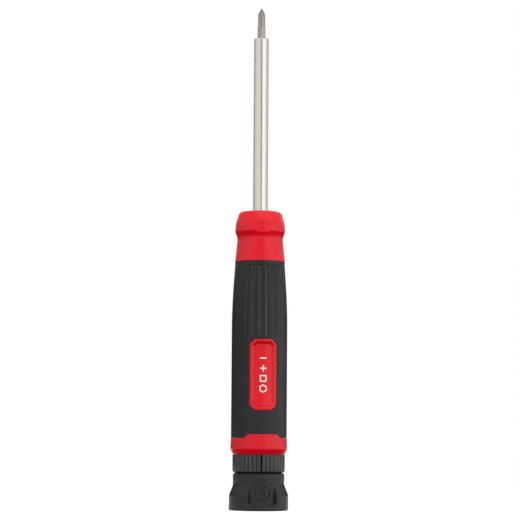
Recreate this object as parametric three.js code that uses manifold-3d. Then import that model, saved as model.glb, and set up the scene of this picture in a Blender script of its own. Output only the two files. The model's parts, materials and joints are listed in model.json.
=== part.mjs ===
// Multi-bit precision screwdriver, millimetres, +Z up along the shaft, origin under the end cap.
// From the top down: a double-ended bit in a steel shaft, a moulded handle with a rubber grip,
// a knurled lock ring, and a free-spinning end cap. The ring and the cap are carried on the tail
// of a magazine that slides out of the handle and holds the spare bits.
import * as THREE from "three";
import { mergeVertices } from "three/addons/utils/BufferGeometryUtils.js";
import Module from "manifold-3d";

const wasm = await Module();
wasm.setup();

// Clearances
const RUNNING_GAP = 0.3;
const SLIDE_GAP = 0.4;
const BOND_GAP = 0.1;
const SOCKET_GAP = 0.1;
const CHAMBER_GAP = 0.29;
const OVERCUT = 1;

// Bits
const BIT_ACROSS_FLATS = 4;
const BIT_LENGTH = 38;
const BIT_REACH = 15.1;
const BIT_CHAMFER = 0.5;
const TIP_LENGTH = 8.9;
const TIP_SINK = 0.5;
const TIP_ROOT_STEP = 0.3;
const POINT_RADIUS = 0.35;
const POINT_HALF_ANGLE = 26.5;
const POINT_FLUTE_LENGTH = 6;
const POINT_CLOCK = 35;
const BLADE_EDGE = 0.5;
const KEY_SHANK_LENGTH = 4.2;
const STAR_LOBES = 6;
const STAR_ROOT = 0.76;

// Shaft and what its socket holds
const SHAFT_WALL = 1.25;
const SHAFT_REACH = 86.4;
const SHAFT_EMBED = 24.8;
const SHAFT_CHAMFER = 0.8;
const WING_REACH = 1.8;
const WING_THICKNESS = 2;
const WING_HEIGHT = 8;
const WING_RISE = 3;
const MAGNET_DIAMETER = 3.6;
const MAGNET_LENGTH = 3;
const CLIP_DROP = 4;
const CLIP_WIRE = 0.4;
const CLIP_HEIGHT = 0.7;
const CLIP_MOUTH = 50;
const SOCKET_CLOCK = 9;

// Magazine and its axle
const CHAMBERS = 6;
const TIERS = 2;
const CHAMBER_WALL = 1.1;
const CHAMBER_LIP = 0.4;
const CHAMBER_MOUTH = 3.8;
const DIVIDER = 1.6;
const CHAMBER_FLOOR = 1;
const STUB_STEP = 1.3;
const AXLE_DIAMETER = 9;
const O_RING_WIRE = 1.2;
const O_RING_RISE = 2.8;
const SCREW_DIAMETER = 3;
const SCREW_LENGTH = 13;
const SCREW_HEAD_DIAMETER = 6;
const SCREW_HEAD_HEIGHT = 2;
const SCREW_HEAD_CLEARANCE = 2.4;
const SCREW_DRIVE = 2;
const SCREW_DRIVE_DEPTH = 1.2;
const THRUST_WASHER_OVERLAP = 0.6;
const THRUST_WASHER_THICKNESS = 0.8;
const NECK_WASHER_THICKNESS = 0.5;
const NECK_WASHER_INSET = 1;

// Handle core
const TUBE_WALL = 1.5;
const NOSE_WEB = 3;
const NOSE_LENGTH = 24.6;
const NOSE_WAIST = 1.08;
const NOSE_FLANGE = 1.2;
const NOSE_FLANGE_DROP = 9.9;
const NOSE_WAIST_DROP = 13;
const NOSE_SHOULDER = 0.24;
const NOSE_SHOULDER_DROP = 5.7;
const NOSE_BEVEL = 1.8;
const NOSE_EDGE_RADIUS = 1.7;
const NOSE_FLATS = 2;
const NOSE_FLAT_WIDTH = 6.1;
const NOSE_FLAT_DEPTH = 0.45;
const TAIL_ROOF = 2.65;
const TAIL_BULGE = 0.25;
const TAIL_CHAMFER = 2.55;
const TAIL_WALL = 0.75;
const TAB_HEIGHT = 1.8;
const TAB_TOP_WIDTH = 13.8;
const TAB_SLOPE = 2.1;
const TAB_ROOT = 1;

// Badge panels, front and back
const BADGE_WIDTH = 13.1;
const BADGE_HEIGHT = 34.3;
const BADGE_CORNER = 2.4;
const BADGE_RISE = 13.35;
const BADGE_FRAME = 1.1;
const BADGE_BEVEL = 1.1;
const BADGE_SINK = 0.1;
const PLATE_THICKNESS = 0.8;

// Grip sleeve
const GRIP_TOP_WALL = 0.95;
const GRIP_SWELL = 1.43;
const GRIP_SWELL_START = 1.5;
const GRIP_SWELL_LENGTH = 31;
const FLUTES = 6;
const FLUTE_PITCH = 15;
const FLUTE_RADIUS = 1.2;
const FLUTE_DEPTH = 0.45;
const FLUTE_TOP_INSET = 2.05;
const FLUTE_BADGE_GAP = 1.4;

// Lock ring
const RING_HEIGHT = 8.2;
const RING_PROUD = 0.1;
const RING_CHAMFER = 0.5;
const RIBS = 36;
const RIB_DEPTH = 0.45;
const RIB_LAND = 6.2;
const INDEX_WIDTH = 0.6;
const INDEX_DEPTH = 1;
const INDEX_CLOCK = -3;
const SLEEVE_WALL = 0.9;
const LUGS = 3;
const LUG_ANGLE = 30;
const LUG_REACH = 0.8;
const LUG_HEIGHT = 1.8;
const LUG_RISE = 3.4;
const LOCK_TURN = 40;
const LOCK_CLEARANCE = 3;

// End cap
const CAP_HEIGHT = 17.6;
const CAP_INSET = 0.24;
const CAP_FLARE = 2;
const CAP_SKIRT_HEIGHT = 7.4;
const CAP_FLARE_HEIGHT = 4.95;
const CAP_FOOT_EDGE = 0.8;
const CAP_TOP_EDGE = 0.6;
const CAP_WALL = 1.2;
const CAP_ROOF = 2.5;
const CAP_HUB_WALL = 1.9;
const POCKETS = 3;
const POCKET_ANGLE = 58;
const POCKET_RISE = 2.6;
const BUSH_WALL = 1.3;
const PLUG_LEDGE = 0.4;
const PLUG_THICKNESS = 1.5;
const PLUG_SINK = 0.3;
const PLUG_DISH = 0.6;
const PLUG_DISH_DIAMETER = 17;

// Facets
const ROUND_STEPS = 40;
const SMALL_STEPS = 24;
const TIP_STEPS = 12;
const WIRE_SIDES = 6;
const SWELL_STEPS = 5;
const CHAMBER_STEPS = 5;
const FLUTE_STEPS = 5;
const FLUTE_SIDES = 6;
const EDGE_STEPS = 3;

// Angles, in degrees about +Z, are counted from the front, which faces -Y
const FRONT = -90;
const rad = THREE.MathUtils.degToRad;
const WELD = 1e-4;

// Levels along the axis, from the foot of the cap to the point of the bit
const chamberLength = BIT_LENGTH + 2 * RUNNING_GAP;
const capTop = CAP_HEIGHT;
const neckWasherBottom = capTop + RUNNING_GAP;
const neckWasherTop = neckWasherBottom + NECK_WASHER_THICKNESS;
const ringBottom = neckWasherTop + RUNNING_GAP;
const ringTop = ringBottom + RING_HEIGHT;
const handleBottom = ringTop + RUNNING_GAP;
const lugBottom = ringTop + LUG_RISE;
const lugTop = lugBottom + LUG_HEIGHT;
const lockBoreTop = lugTop + 2 * RUNNING_GAP;
const oRingLevel = lockBoreTop + O_RING_RISE;
const chamberBottom = oRingLevel + O_RING_WIRE / 2 + CHAMBER_FLOOR;
const magazineTop = chamberBottom + TIERS * (chamberLength + DIVIDER);
const boreTop = magazineTop + SLIDE_GAP;
const shaftBottom = boreTop + NOSE_WEB;
const noseTop = shaftBottom + SHAFT_EMBED;
const shaftTop = noseTop + SHAFT_REACH;
const bitBottom = shaftTop + BIT_REACH - BIT_LENGTH;
const socketBottom = bitBottom - RUNNING_GAP;
const gripTop = noseTop - NOSE_LENGTH;
const gripBottom = lugTop + RUNNING_GAP + TAIL_ROOF;
const badgeBottom = gripBottom + BADGE_RISE;
const badgeTop = badgeBottom + BADGE_HEIGHT;
const plugTop = PLUG_SINK + PLUG_THICKNESS;
const screwHeadBottom = plugTop + SCREW_HEAD_CLEARANCE;
const thrustWasherBottom = screwHeadBottom + SCREW_HEAD_HEIGHT;
const axleBottom = thrustWasherBottom + THRUST_WASHER_THICKNESS;
const hubBottom = axleBottom + RUNNING_GAP;

// Radii, worked outwards from the bit
const bitCorner = BIT_ACROSS_FLATS / Math.sqrt(3);
const socketCorner = (BIT_ACROSS_FLATS + 2 * SOCKET_GAP) / Math.sqrt(3);
const shaftRadius = socketCorner + SHAFT_WALL;
const chamberRadius = bitCorner + CHAMBER_GAP;
const pitchRadius = (2 * chamberRadius + CHAMBER_WALL) / (2 * Math.sin(Math.PI / CHAMBERS));
const magazineRadius = pitchRadius + chamberRadius + CHAMBER_LIP;
const boreRadius = magazineRadius + SLIDE_GAP;
const tubeRadius = boreRadius + TUBE_WALL;
const gripTopRadius = tubeRadius + GRIP_TOP_WALL;
const gripRadius = gripTopRadius + GRIP_SWELL;
const tailRadius = gripRadius + TAIL_BULGE;
const badgeRadius = gripRadius - BADGE_SINK;
const plateFace = badgeRadius - BADGE_BEVEL;
const plateFloor = plateFace - PLATE_THICKNESS;
const waistRadius = gripTopRadius - NOSE_WAIST;
const flangeRadius = waistRadius + NOSE_FLANGE;
const shoulderRadius = flangeRadius - NOSE_SHOULDER;
const stubRadius = magazineRadius - STUB_STEP;
const axleRadius = AXLE_DIAMETER / 2;
const sleeveInner = magazineRadius + RUNNING_GAP;
const sleeveOuter = sleeveInner + SLEEVE_WALL;
const lockBoreRadius = sleeveOuter + RUNNING_GAP;
const lugRadius = lockBoreRadius + LUG_REACH;
const lugSlotRadius = lugRadius + RUNNING_GAP;
const tailFootRadius = lugSlotRadius + TAIL_WALL;
const ringRadius = tailFootRadius + RING_PROUD;
const barrelRadius = ringRadius - CAP_INSET;
const skirtRadius = barrelRadius + CAP_FLARE;
const capCavityRadius = barrelRadius - CAP_WALL;
const plugSeatRadius = capCavityRadius + PLUG_LEDGE;
const bushInner = axleRadius + RUNNING_GAP;
const bushOuter = bushInner + BUSH_WALL;
const hubBore = bushOuter + BOND_GAP;
const hubRadius = hubBore + CAP_HUB_WALL;

// Materials
const paint = (color, roughness, metalness = 0) =>
  new THREE.MeshStandardMaterial({ color, roughness, metalness });
const redPlastic = paint(0xd8232f, 0.45);
const blackRubber = paint(0x333234, 0.75);
const blackPlastic = paint(0x3a393b, 0.55);
const polishedSteel = paint(0xd2cec6, 0.2, 1);
const bitSteel = paint(0x9c9791, 0.35, 1);
const zincSteel = paint(0xb5b7ba, 0.35, 1);
const springSteel = paint(0x77797c, 0.35, 1);
const magnetNickel = paint(0xc4c4c0, 0.25, 1);
const brass = paint(0xb8934a, 0.35, 1);
const sealRubber = paint(0x202022, 0.8);

// A closed geometry as a solid that can be joined and cut
function solid(geometry) {
  const loose = geometry.index ? geometry.toNonIndexed() : geometry;
  const bare = new THREE.BufferGeometry();
  bare.setAttribute("position", loose.getAttribute("position"));
  const merged = mergeVertices(bare, WELD);
  const triVerts = [];
  for (let i = 0; i < merged.index.count; i += 3) {
    const corners = [0, 1, 2].map((k) => merged.index.getX(i + k));
    if (new Set(corners).size === 3) triVerts.push(...corners);
  }
  const mesh = new wasm.Mesh({
    numProp: 3,
    vertProperties: merged.getAttribute("position").array,
    triVerts: new Uint32Array(triVerts),
  });
  return new wasm.Manifold(mesh);
}

// A solid as a geometry again
function geometryOf(shape) {
  if (shape.isBufferGeometry) return shape;
  const mesh = shape.getMesh();
  const geometry = new THREE.BufferGeometry();
  geometry.setAttribute("position", new THREE.BufferAttribute(mesh.vertProperties, 3));
  geometry.setIndex(new THREE.BufferAttribute(mesh.triVerts, 1));
  geometry.computeVertexNormals();
  return geometry;
}

const asSolid = (shape) => (shape.isBufferGeometry ? solid(shape) : shape);
const join = (...shapes) => shapes.map(asSolid).reduce((a, b) => a.add(b));
const cut = (base, ...tools) => tools.map(asSolid).reduce((a, b) => a.subtract(b), asSolid(base));
const common = (a, b) => asSolid(a).intersect(asSolid(b));

// A profile of [radius, level] points turned about the axis, outer wall upwards
function turned(profile, steps = ROUND_STEPS) {
  const points = profile.map(([radius, level]) => new THREE.Vector2(radius, level));
  return new THREE.LatheGeometry(points, steps).rotateX(Math.PI / 2);
}

const disc = (radius, bottom, top, steps) =>
  turned([[0, bottom], [radius, bottom], [radius, top], [0, top]], steps);

const tube = (inner, outer, bottom, top, steps) =>
  turned([[outer, bottom], [outer, top], [inner, top], [inner, bottom], [outer, bottom]], steps);

function shapeOf(outline) {
  return new THREE.Shape(outline.map(([x, y]) => new THREE.Vector2(x, y)));
}

// An outline in X and Y raised from one level to another
function prism(outline, bottom, top) {
  const options = { depth: top - bottom, bevelEnabled: false };
  return new THREE.ExtrudeGeometry(shapeOf(outline), options).translate(0, 0, bottom);
}

// An outline in X and Z that runs from the axis plane out through the front, by the given reach
function frontPrism(outline, reach) {
  const options = { depth: reach, bevelEnabled: false };
  return new THREE.ExtrudeGeometry(shapeOf(outline), options).rotateX(Math.PI / 2);
}

// A regular outline with one corner at the front
function polygon(sides, corner) {
  return Array.from({ length: sides }, (_, i) => {
    const angle = rad(FRONT) + (2 * Math.PI * i) / sides;
    return [corner * Math.cos(angle), corner * Math.sin(angle)];
  });
}

// A stretch of ring between two angles
function sector(inner, outer, from, to, bottom, top) {
  const shape = new THREE.Shape();
  shape.absarc(0, 0, outer, rad(FRONT + from), rad(FRONT + to), false);
  shape.absarc(0, 0, inner, rad(FRONT + to), rad(FRONT + from), true);
  const arcSteps = Math.ceil((ROUND_STEPS * (to - from)) / 720);
  const options = { depth: top - bottom, bevelEnabled: false, curveSegments: arcSteps };
  return new THREE.ExtrudeGeometry(shape, options).translate(0, 0, bottom);
}

const around = (count, make) =>
  Array.from({ length: count }, (_, i) => make(i).rotateZ((2 * Math.PI * i) / count));

function piece(name, shape, material) {
  const mesh = new THREE.Mesh(geometryOf(shape), material);
  mesh.name = name;
  return mesh;
}

function bodyOf(...meshes) {
  const group = new THREE.Group();
  group.add(...meshes);
  return group;
}

// A rectangle with cut corners, in X and Z, centred on the badge and grown by a margin
function badgeOutline(margin) {
  const half = BADGE_WIDTH / 2 + margin;
  const low = badgeBottom - margin;
  const high = badgeTop + margin;
  const corner = BADGE_CORNER + margin * (2 - Math.SQRT2);
  return [
    [half - corner, low], [half, low + corner], [half, high - corner], [half - corner, high],
    [corner - half, high], [-half, high - corner], [-half, low + corner], [corner - half, low],
  ];
}

// The trapezium that the handle's tail raises into the grip, front and back
function tabOutline(margin) {
  const topHalf = TAB_TOP_WIDTH / 2 + margin;
  const baseHalf = topHalf + TAB_SLOPE * (1 + TAB_ROOT / TAB_HEIGHT);
  const base = gripBottom - TAB_ROOT;
  const high = gripBottom + TAB_HEIGHT + margin;
  return [[-baseHalf, base], [baseHalf, base], [topHalf, high], [-topHalf, high]];
}

const bothSides = (outline, reach) => [
  frontPrism(outline, reach),
  frontPrism(outline, reach).rotateZ(Math.PI),
];

// Radius of the grip's surface: straight below the nose, then a swell to the full grip
function gripSurface(level) {
  const down = (gripTop - GRIP_SWELL_START - level) / GRIP_SWELL_LENGTH;
  const share = THREE.MathUtils.clamp(down, 0, 1);
  return gripTopRadius + GRIP_SWELL * Math.sin((share * Math.PI) / 2);
}

function noseProfile() {
  const bevelRadius = shoulderRadius - NOSE_BEVEL;
  const edgeRadius = bevelRadius - NOSE_EDGE_RADIUS;
  const edge = Array.from({ length: EDGE_STEPS + 1 }, (_, i) => {
    const angle = (Math.PI / 2) * (i / EDGE_STEPS);
    const out = edgeRadius + NOSE_EDGE_RADIUS * Math.cos(angle);
    return [out, noseTop - NOSE_EDGE_RADIUS * (1 - Math.sin(angle))];
  });
  return [
    [gripTopRadius, gripTop],
    [waistRadius, noseTop - NOSE_WAIST_DROP],
    [flangeRadius, noseTop - NOSE_FLANGE_DROP],
    [shoulderRadius, noseTop - NOSE_SHOULDER_DROP],
    ...edge,
  ];
}

// The handle's hard core: nose, tube, tail and the two badge frames in one moulding
function makeHandleCore() {
  const holeRadius = shaftRadius + BOND_GAP;
  const shell = turned([
    [0, boreTop],
    [boreRadius, boreTop],
    [boreRadius, lockBoreTop],
    [lockBoreRadius, lockBoreTop],
    [lockBoreRadius, handleBottom],
    [tailFootRadius, handleBottom],
    [tailRadius, handleBottom + TAIL_CHAMFER],
    [gripRadius, gripBottom],
    [tubeRadius, gripBottom],
    [tubeRadius, gripTop],
    ...noseProfile(),
    [holeRadius, noseTop],
    [holeRadius, shaftBottom],
    [0, shaftBottom],
  ]);
  const wallInside = tubeRadius - TUBE_WALL / 2;
  const tabBand = tube(wallInside, gripRadius, gripBottom - TAB_ROOT, gripBottom + TAB_HEIGHT);
  const badgeBand = tube(wallInside, badgeRadius, badgeBottom, badgeTop);
  const tabs = bothSides(tabOutline(0), 2 * gripRadius).map((side) => common(tabBand, side));
  const bosses = bothSides(badgeOutline(0), 2 * gripRadius).map((side) => common(badgeBand, side));
  const plateBand = tube(plateFloor, tailRadius, badgeBottom, badgeTop);
  const pockets = bothSides(badgeOutline(-BADGE_FRAME), 2 * gripRadius)
    .map((side) => common(plateBand, side));
  const flats = around(NOSE_FLATS, () => {
    const floor = flangeRadius - NOSE_FLAT_DEPTH;
    const outline = [
      [-NOSE_FLAT_WIDTH / 2, -2 * flangeRadius], [NOSE_FLAT_WIDTH / 2, -2 * flangeRadius],
      [NOSE_FLAT_WIDTH / 2, -floor], [-NOSE_FLAT_WIDTH / 2, -floor],
    ];
    return prism(outline, noseTop - NOSE_WAIST_DROP, noseTop);
  });
  const lockSlots = around(LUGS, () => lockSlot());
  return cut(join(shell, ...tabs, ...bosses), ...pockets, ...flats, ...lockSlots, shaftWings(BOND_GAP));
}

// The path of one lug of the lock ring: straight in from below, then round under a ledge
function lockSlot() {
  const half = LUG_ANGLE / 2 + LOCK_CLEARANCE;
  const inside = lockBoreRadius - RUNNING_GAP;
  const ceiling = lugTop + RUNNING_GAP;
  const entry = sector(inside, lugSlotRadius, -half, half, handleBottom - OVERCUT, ceiling);
  const run = sector(inside, lugSlotRadius, -half, half + LOCK_TURN, lugBottom - RUNNING_GAP, ceiling);
  return geometryOf(join(entry, run));
}

// The rubber sleeve moulded over the core, with windows for the badges and flutes above them
function makeGripSleeve() {
  const inner = tubeRadius + BOND_GAP;
  const low = gripBottom + BOND_GAP;
  const high = gripTop - BOND_GAP;
  const swellTop = gripTop - GRIP_SWELL_START;
  const swell = Array.from({ length: SWELL_STEPS + 1 }, (_, i) => {
    const level = swellTop - GRIP_SWELL_LENGTH * (1 - i / SWELL_STEPS);
    return [gripSurface(level), level];
  });
  const sleeve = turned([
    [gripRadius, low],
    ...swell,
    [gripTopRadius, high],
    [inner, high],
    [inner, low],
    [gripRadius, low],
  ]);
  const windows = bothSides(badgeOutline(BOND_GAP), 2 * gripRadius);
  const notches = bothSides(tabOutline(BOND_GAP), 2 * gripRadius);
  const flutes = [];
  for (const side of [0, 180]) {
    for (let i = 0; i < FLUTES; i += 1) {
      const angle = side + FLUTE_PITCH * (i - (FLUTES - 1) / 2);
      flutes.push(fluteCutter().rotateZ(rad(angle)));
    }
  }
  return cut(sleeve, ...windows, ...notches, ...flutes);
}

// A round bar that follows the grip's surface at the front, sunk by the depth of a flute
function fluteCutter() {
  const top = gripTop - FLUTE_TOP_INSET;
  const bottom = badgeTop + FLUTE_BADGE_GAP;
  const points = Array.from({ length: FLUTE_STEPS + 1 }, (_, i) => {
    const level = bottom + ((top - bottom) * i) / FLUTE_STEPS;
    return new THREE.Vector3(0, -gripSurface(level) - FLUTE_RADIUS + FLUTE_DEPTH, level);
  });
  const options = { steps: FLUTE_STEPS, extrudePath: new THREE.CatmullRomCurve3(points) };
  return new THREE.ExtrudeGeometry(shapeOf(polygon(FLUTE_SIDES, FLUTE_RADIUS)), options);
}

function makeBadgePlate() {
  const band = tube(plateFloor + BOND_GAP, plateFace, badgeBottom, badgeTop);
  return common(band, frontPrism(badgeOutline(-BADGE_FRAME - BOND_GAP), 2 * gripRadius));
}

// Two forged wings near the shaft's foot, which key it into the nose
function shaftWings(margin) {
  const half = shaftRadius + WING_REACH + margin;
  const side = WING_THICKNESS / 2 + margin;
  const outline = [[-half, -side], [half, -side], [half, side], [-half, side]];
  const low = shaftBottom + WING_RISE;
  return prism(outline, low - margin, low + WING_HEIGHT + margin);
}

function makeShaft() {
  const rod = turned([
    [0, shaftBottom + BOND_GAP],
    [shaftRadius, shaftBottom + BOND_GAP],
    [shaftRadius, shaftTop - SHAFT_CHAMFER],
    [shaftRadius - SHAFT_CHAMFER, shaftTop],
    [0, shaftTop],
  ]);
  const socket = prism(polygon(6, socketCorner), socketBottom, shaftTop + OVERCUT);
  socket.rotateZ(rad(-SOCKET_CLOCK));
  const magnetPocket = disc(
    MAGNET_DIAMETER / 2 + BOND_GAP,
    socketBottom - MAGNET_LENGTH - BOND_GAP,
    bitBottom,
    SMALL_STEPS,
  );
  const clipTop = shaftTop - CLIP_DROP;
  const clipGroove = disc(
    clipOuter() + BOND_GAP,
    clipTop - CLIP_HEIGHT - BOND_GAP,
    clipTop + BOND_GAP,
    SMALL_STEPS,
  );
  return cut(join(rod, shaftWings(0)), socket, magnetPocket, clipGroove);
}

function makeMagnet() {
  return disc(MAGNET_DIAMETER / 2, socketBottom - MAGNET_LENGTH, socketBottom, SMALL_STEPS);
}

const clipInner = () => bitCorner + SOCKET_GAP + BOND_GAP;
const clipOuter = () => clipInner() + CLIP_WIRE;

// An open ring of spring wire in a groove near the socket's mouth
function makeClipRing() {
  const top = shaftTop - CLIP_DROP;
  const half = CLIP_MOUTH / 2;
  return sector(clipInner(), clipOuter(), half, 360 - half, top - CLIP_HEIGHT, top);
}

// Bit tips, each from a sunk root at level -TIP_SINK to its end at TIP_LENGTH
function phillipsTip(radius) {
  const coneLength = (radius - POINT_RADIUS) / Math.tan(rad(POINT_HALF_ANGLE));
  const body = turned([
    [0, -TIP_SINK],
    [radius, -TIP_SINK],
    [radius, TIP_LENGTH - coneLength],
    [POINT_RADIUS, TIP_LENGTH],
    [0, TIP_LENGTH],
  ], TIP_STEPS);
  const wide = 2 * radius;
  const lean = Math.atan((radius - POINT_RADIUS) / POINT_FLUTE_LENGTH);
  const flutes = around(4, () =>
    prism([[0, 0], [wide, -wide], [wide, wide]], -2 * POINT_FLUTE_LENGTH, TIP_LENGTH)
      .rotateY(-lean)
      .translate(POINT_RADIUS, 0, TIP_LENGTH)
      .rotateZ(rad(FRONT + POINT_CLOCK)),
  );
  return cut(body, ...flutes);
}

function slottedTip(radius) {
  const outline = [
    [-radius, -TIP_SINK], [radius, -TIP_SINK], [radius, KEY_SHANK_LENGTH],
    [BLADE_EDGE / 2, TIP_LENGTH], [-BLADE_EDGE / 2, TIP_LENGTH], [-radius, KEY_SHANK_LENGTH],
  ];
  const blade = frontPrism(outline, 4 * radius).translate(0, 2 * radius, 0);
  return common(disc(radius, -TIP_SINK, TIP_LENGTH, TIP_STEPS), blade);
}

// A key of constant outline on a short round shank
function keyTip(outline, radius) {
  const shank = disc(radius, -TIP_SINK, KEY_SHANK_LENGTH, TIP_STEPS);
  return join(shank, prism(outline, 0, TIP_LENGTH));
}

function starOutline(radius) {
  const points = 2 * STAR_LOBES;
  return Array.from({ length: points }, (_, i) => {
    const angle = (2 * Math.PI * i) / points;
    const reach = i % 2 === 0 ? radius : radius * STAR_ROOT;
    return [reach * Math.cos(angle), reach * Math.sin(angle)];
  });
}

const tipRoot = BIT_ACROSS_FLATS / 2 - TIP_ROOT_STEP;
const TIPS = {
  phillips: phillipsTip,
  slotted: slottedTip,
  hex: (radius) => keyTip(polygon(6, radius), tipRoot),
  square: (radius) => keyTip(polygon(4, radius), tipRoot),
  star: (radius) => keyTip(starOutline(radius), tipRoot),
};

// A double-ended bit, upright, with its lower end at level 0 and a hex corner at the front
function makeBit([topKind, topDiameter], [lowKind, lowDiameter]) {
  const hexLow = TIP_LENGTH;
  const hexHigh = BIT_LENGTH - TIP_LENGTH;
  const flat = BIT_ACROSS_FLATS / 2;
  const outside = bitCorner + BIT_CHAMFER;
  const slope = (BIT_CHAMFER * (outside - flat)) / (bitCorner - flat);
  const envelope = turned([
    [0, hexLow],
    [flat, hexLow],
    [outside, hexLow + slope],
    [outside, hexHigh - slope],
    [flat, hexHigh],
    [0, hexHigh],
  ], TIP_STEPS);
  const hex = common(prism(polygon(6, bitCorner), hexLow, hexHigh), envelope);
  const top = geometryOf(TIPS[topKind](topDiameter / 2)).translate(0, 0, hexHigh);
  const low = geometryOf(TIPS[lowKind](lowDiameter / 2)).rotateX(Math.PI).translate(0, 0, hexLow);
  return join(hex, top, low);
}

// The bit magazine: a column with snap-in chambers, a stub for the lock ring and an axle for the cap
function makeMagazine() {
  const grooveHalf = O_RING_WIRE / 2 + BOND_GAP;
  const grooveRadius = oRingRadius() - O_RING_WIRE / 2 - BOND_GAP;
  const threadRadius = SCREW_DIAMETER / 2 + BOND_GAP;
  const threadTop = thrustWasherBottom + SCREW_LENGTH + RUNNING_GAP;
  const column = turned([
    [0, threadTop],
    [threadRadius, threadTop],
    [threadRadius, axleBottom],
    [axleRadius, axleBottom],
    [axleRadius, neckWasherTop],
    [stubRadius, neckWasherTop],
    [stubRadius, handleBottom],
    [magazineRadius, handleBottom],
    [magazineRadius, oRingLevel - grooveHalf],
    [grooveRadius, oRingLevel - grooveHalf],
    [grooveRadius, oRingLevel + grooveHalf],
    [magazineRadius, oRingLevel + grooveHalf],
    [magazineRadius, magazineTop],
    [0, magazineTop],
  ]);
  const chambers = [];
  for (let tier = 0; tier < TIERS; tier += 1) {
    chambers.push(...around(CHAMBERS, () => chamberCutter(tierLevel(tier))));
  }
  return cut(column, ...chambers);
}

const oRingRadius = () => magazineRadius - O_RING_WIRE / 2 + SLIDE_GAP / 2;
const tierLevel = (tier) => chamberBottom + tier * (chamberLength + DIVIDER);

// A round chamber at the front with a mouth that is a little narrower than a bit
function chamberCutter(bottom) {
  const half = CHAMBER_MOUTH / 2;
  const mouthAngle = Math.asin(half / chamberRadius);
  const outside = -chamberRadius - CHAMBER_LIP - OVERCUT;
  const shape = new THREE.Shape();
  shape.moveTo(half, outside);
  shape.absarc(0, 0, chamberRadius, rad(FRONT) + mouthAngle, rad(FRONT) + 2 * Math.PI - mouthAngle, false);
  shape.lineTo(-half, outside);
  const options = { depth: chamberLength, bevelEnabled: false, curveSegments: CHAMBER_STEPS };
  return new THREE.ExtrudeGeometry(shape, options).translate(0, -pitchRadius, bottom);
}

function makeORing() {
  const section = Array.from({ length: WIRE_SIDES + 1 }, (_, i) => {
    const angle = (2 * Math.PI * i) / WIRE_SIDES;
    const out = oRingRadius() + (O_RING_WIRE / 2) * Math.cos(angle);
    return [out, oRingLevel + (O_RING_WIRE / 2) * Math.sin(angle)];
  });
  return turned(section, SMALL_STEPS);
}

function makeAxleScrew() {
  const headTop = thrustWasherBottom;
  const body = turned([
    [0, screwHeadBottom],
    [SCREW_HEAD_DIAMETER / 2, screwHeadBottom],
    [SCREW_HEAD_DIAMETER / 2, headTop],
    [SCREW_DIAMETER / 2, headTop],
    [SCREW_DIAMETER / 2, headTop + SCREW_LENGTH],
    [0, headTop + SCREW_LENGTH],
  ], SMALL_STEPS);
  const hex = polygon(6, SCREW_DRIVE / Math.sqrt(3));
  const drive = prism(hex, screwHeadBottom - OVERCUT, screwHeadBottom + SCREW_DRIVE_DEPTH);
  return cut(body, drive);
}

function makeThrustWasher() {
  const inner = SCREW_DIAMETER / 2 + BOND_GAP;
  return tube(inner, hubBore + THRUST_WASHER_OVERLAP, thrustWasherBottom, axleBottom, SMALL_STEPS);
}

function makeNeckWasher() {
  return tube(axleRadius + BOND_GAP, ringRadius - NECK_WASHER_INSET, neckWasherBottom, neckWasherTop);
}

// Ribs round the lock ring: flat lands with V grooves between them, one groove under the index slot
function ribOutline() {
  const pitch = 360 / RIBS;
  const outline = [];
  for (let i = 0; i < RIBS; i += 1) {
    const groove = i * pitch;
    const places = [
      [groove, ringRadius - RIB_DEPTH],
      [groove + (pitch - RIB_LAND) / 2, ringRadius],
      [groove + (pitch + RIB_LAND) / 2, ringRadius],
    ];
    for (const [angle, radius] of places) {
      outline.push([radius * Math.cos(rad(FRONT + angle)), radius * Math.sin(rad(FRONT + angle))]);
    }
  }
  return outline;
}

// The knurled lock ring, with a sleeve and three bayonet lugs that reach up into the handle
function makeLockRing() {
  const ringBore = stubRadius + RUNNING_GAP;
  const envelope = turned([
    [ringBore, ringBottom],
    [ringRadius - RING_CHAMFER, ringBottom],
    [ringRadius + RING_CHAMFER, ringBottom + 2 * RING_CHAMFER],
    [ringRadius + RING_CHAMFER, ringTop - 2 * RING_CHAMFER],
    [ringRadius - RING_CHAMFER, ringTop],
    [ringBore, ringTop],
    [ringBore, ringBottom],
  ]);
  const ribs = prism(ribOutline(), ringBottom, ringTop).rotateZ(rad(INDEX_CLOCK));
  const knurled = common(ribs, envelope);
  const sleeve = tube(sleeveInner, sleeveOuter, ringTop - RING_CHAMFER, lugTop);
  const half = LUG_ANGLE / 2;
  const middle = (sleeveInner + sleeveOuter) / 2;
  const lugs = around(LUGS, () => sector(middle, lugRadius, -half, half, lugBottom, lugTop));
  const slotHalf = INDEX_WIDTH / 2;
  const slotFloor = ringRadius - INDEX_DEPTH;
  const slotOutline = [
    [-slotHalf, -2 * ringRadius], [slotHalf, -2 * ringRadius],
    [slotHalf, -slotFloor], [-slotHalf, -slotFloor],
  ];
  const indexSlot = prism(slotOutline, ringBottom - OVERCUT, ringTop + OVERCUT)
    .rotateZ(rad(INDEX_CLOCK));
  return cut(join(knurled, sleeve, ...lugs), indexSlot);
}

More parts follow.
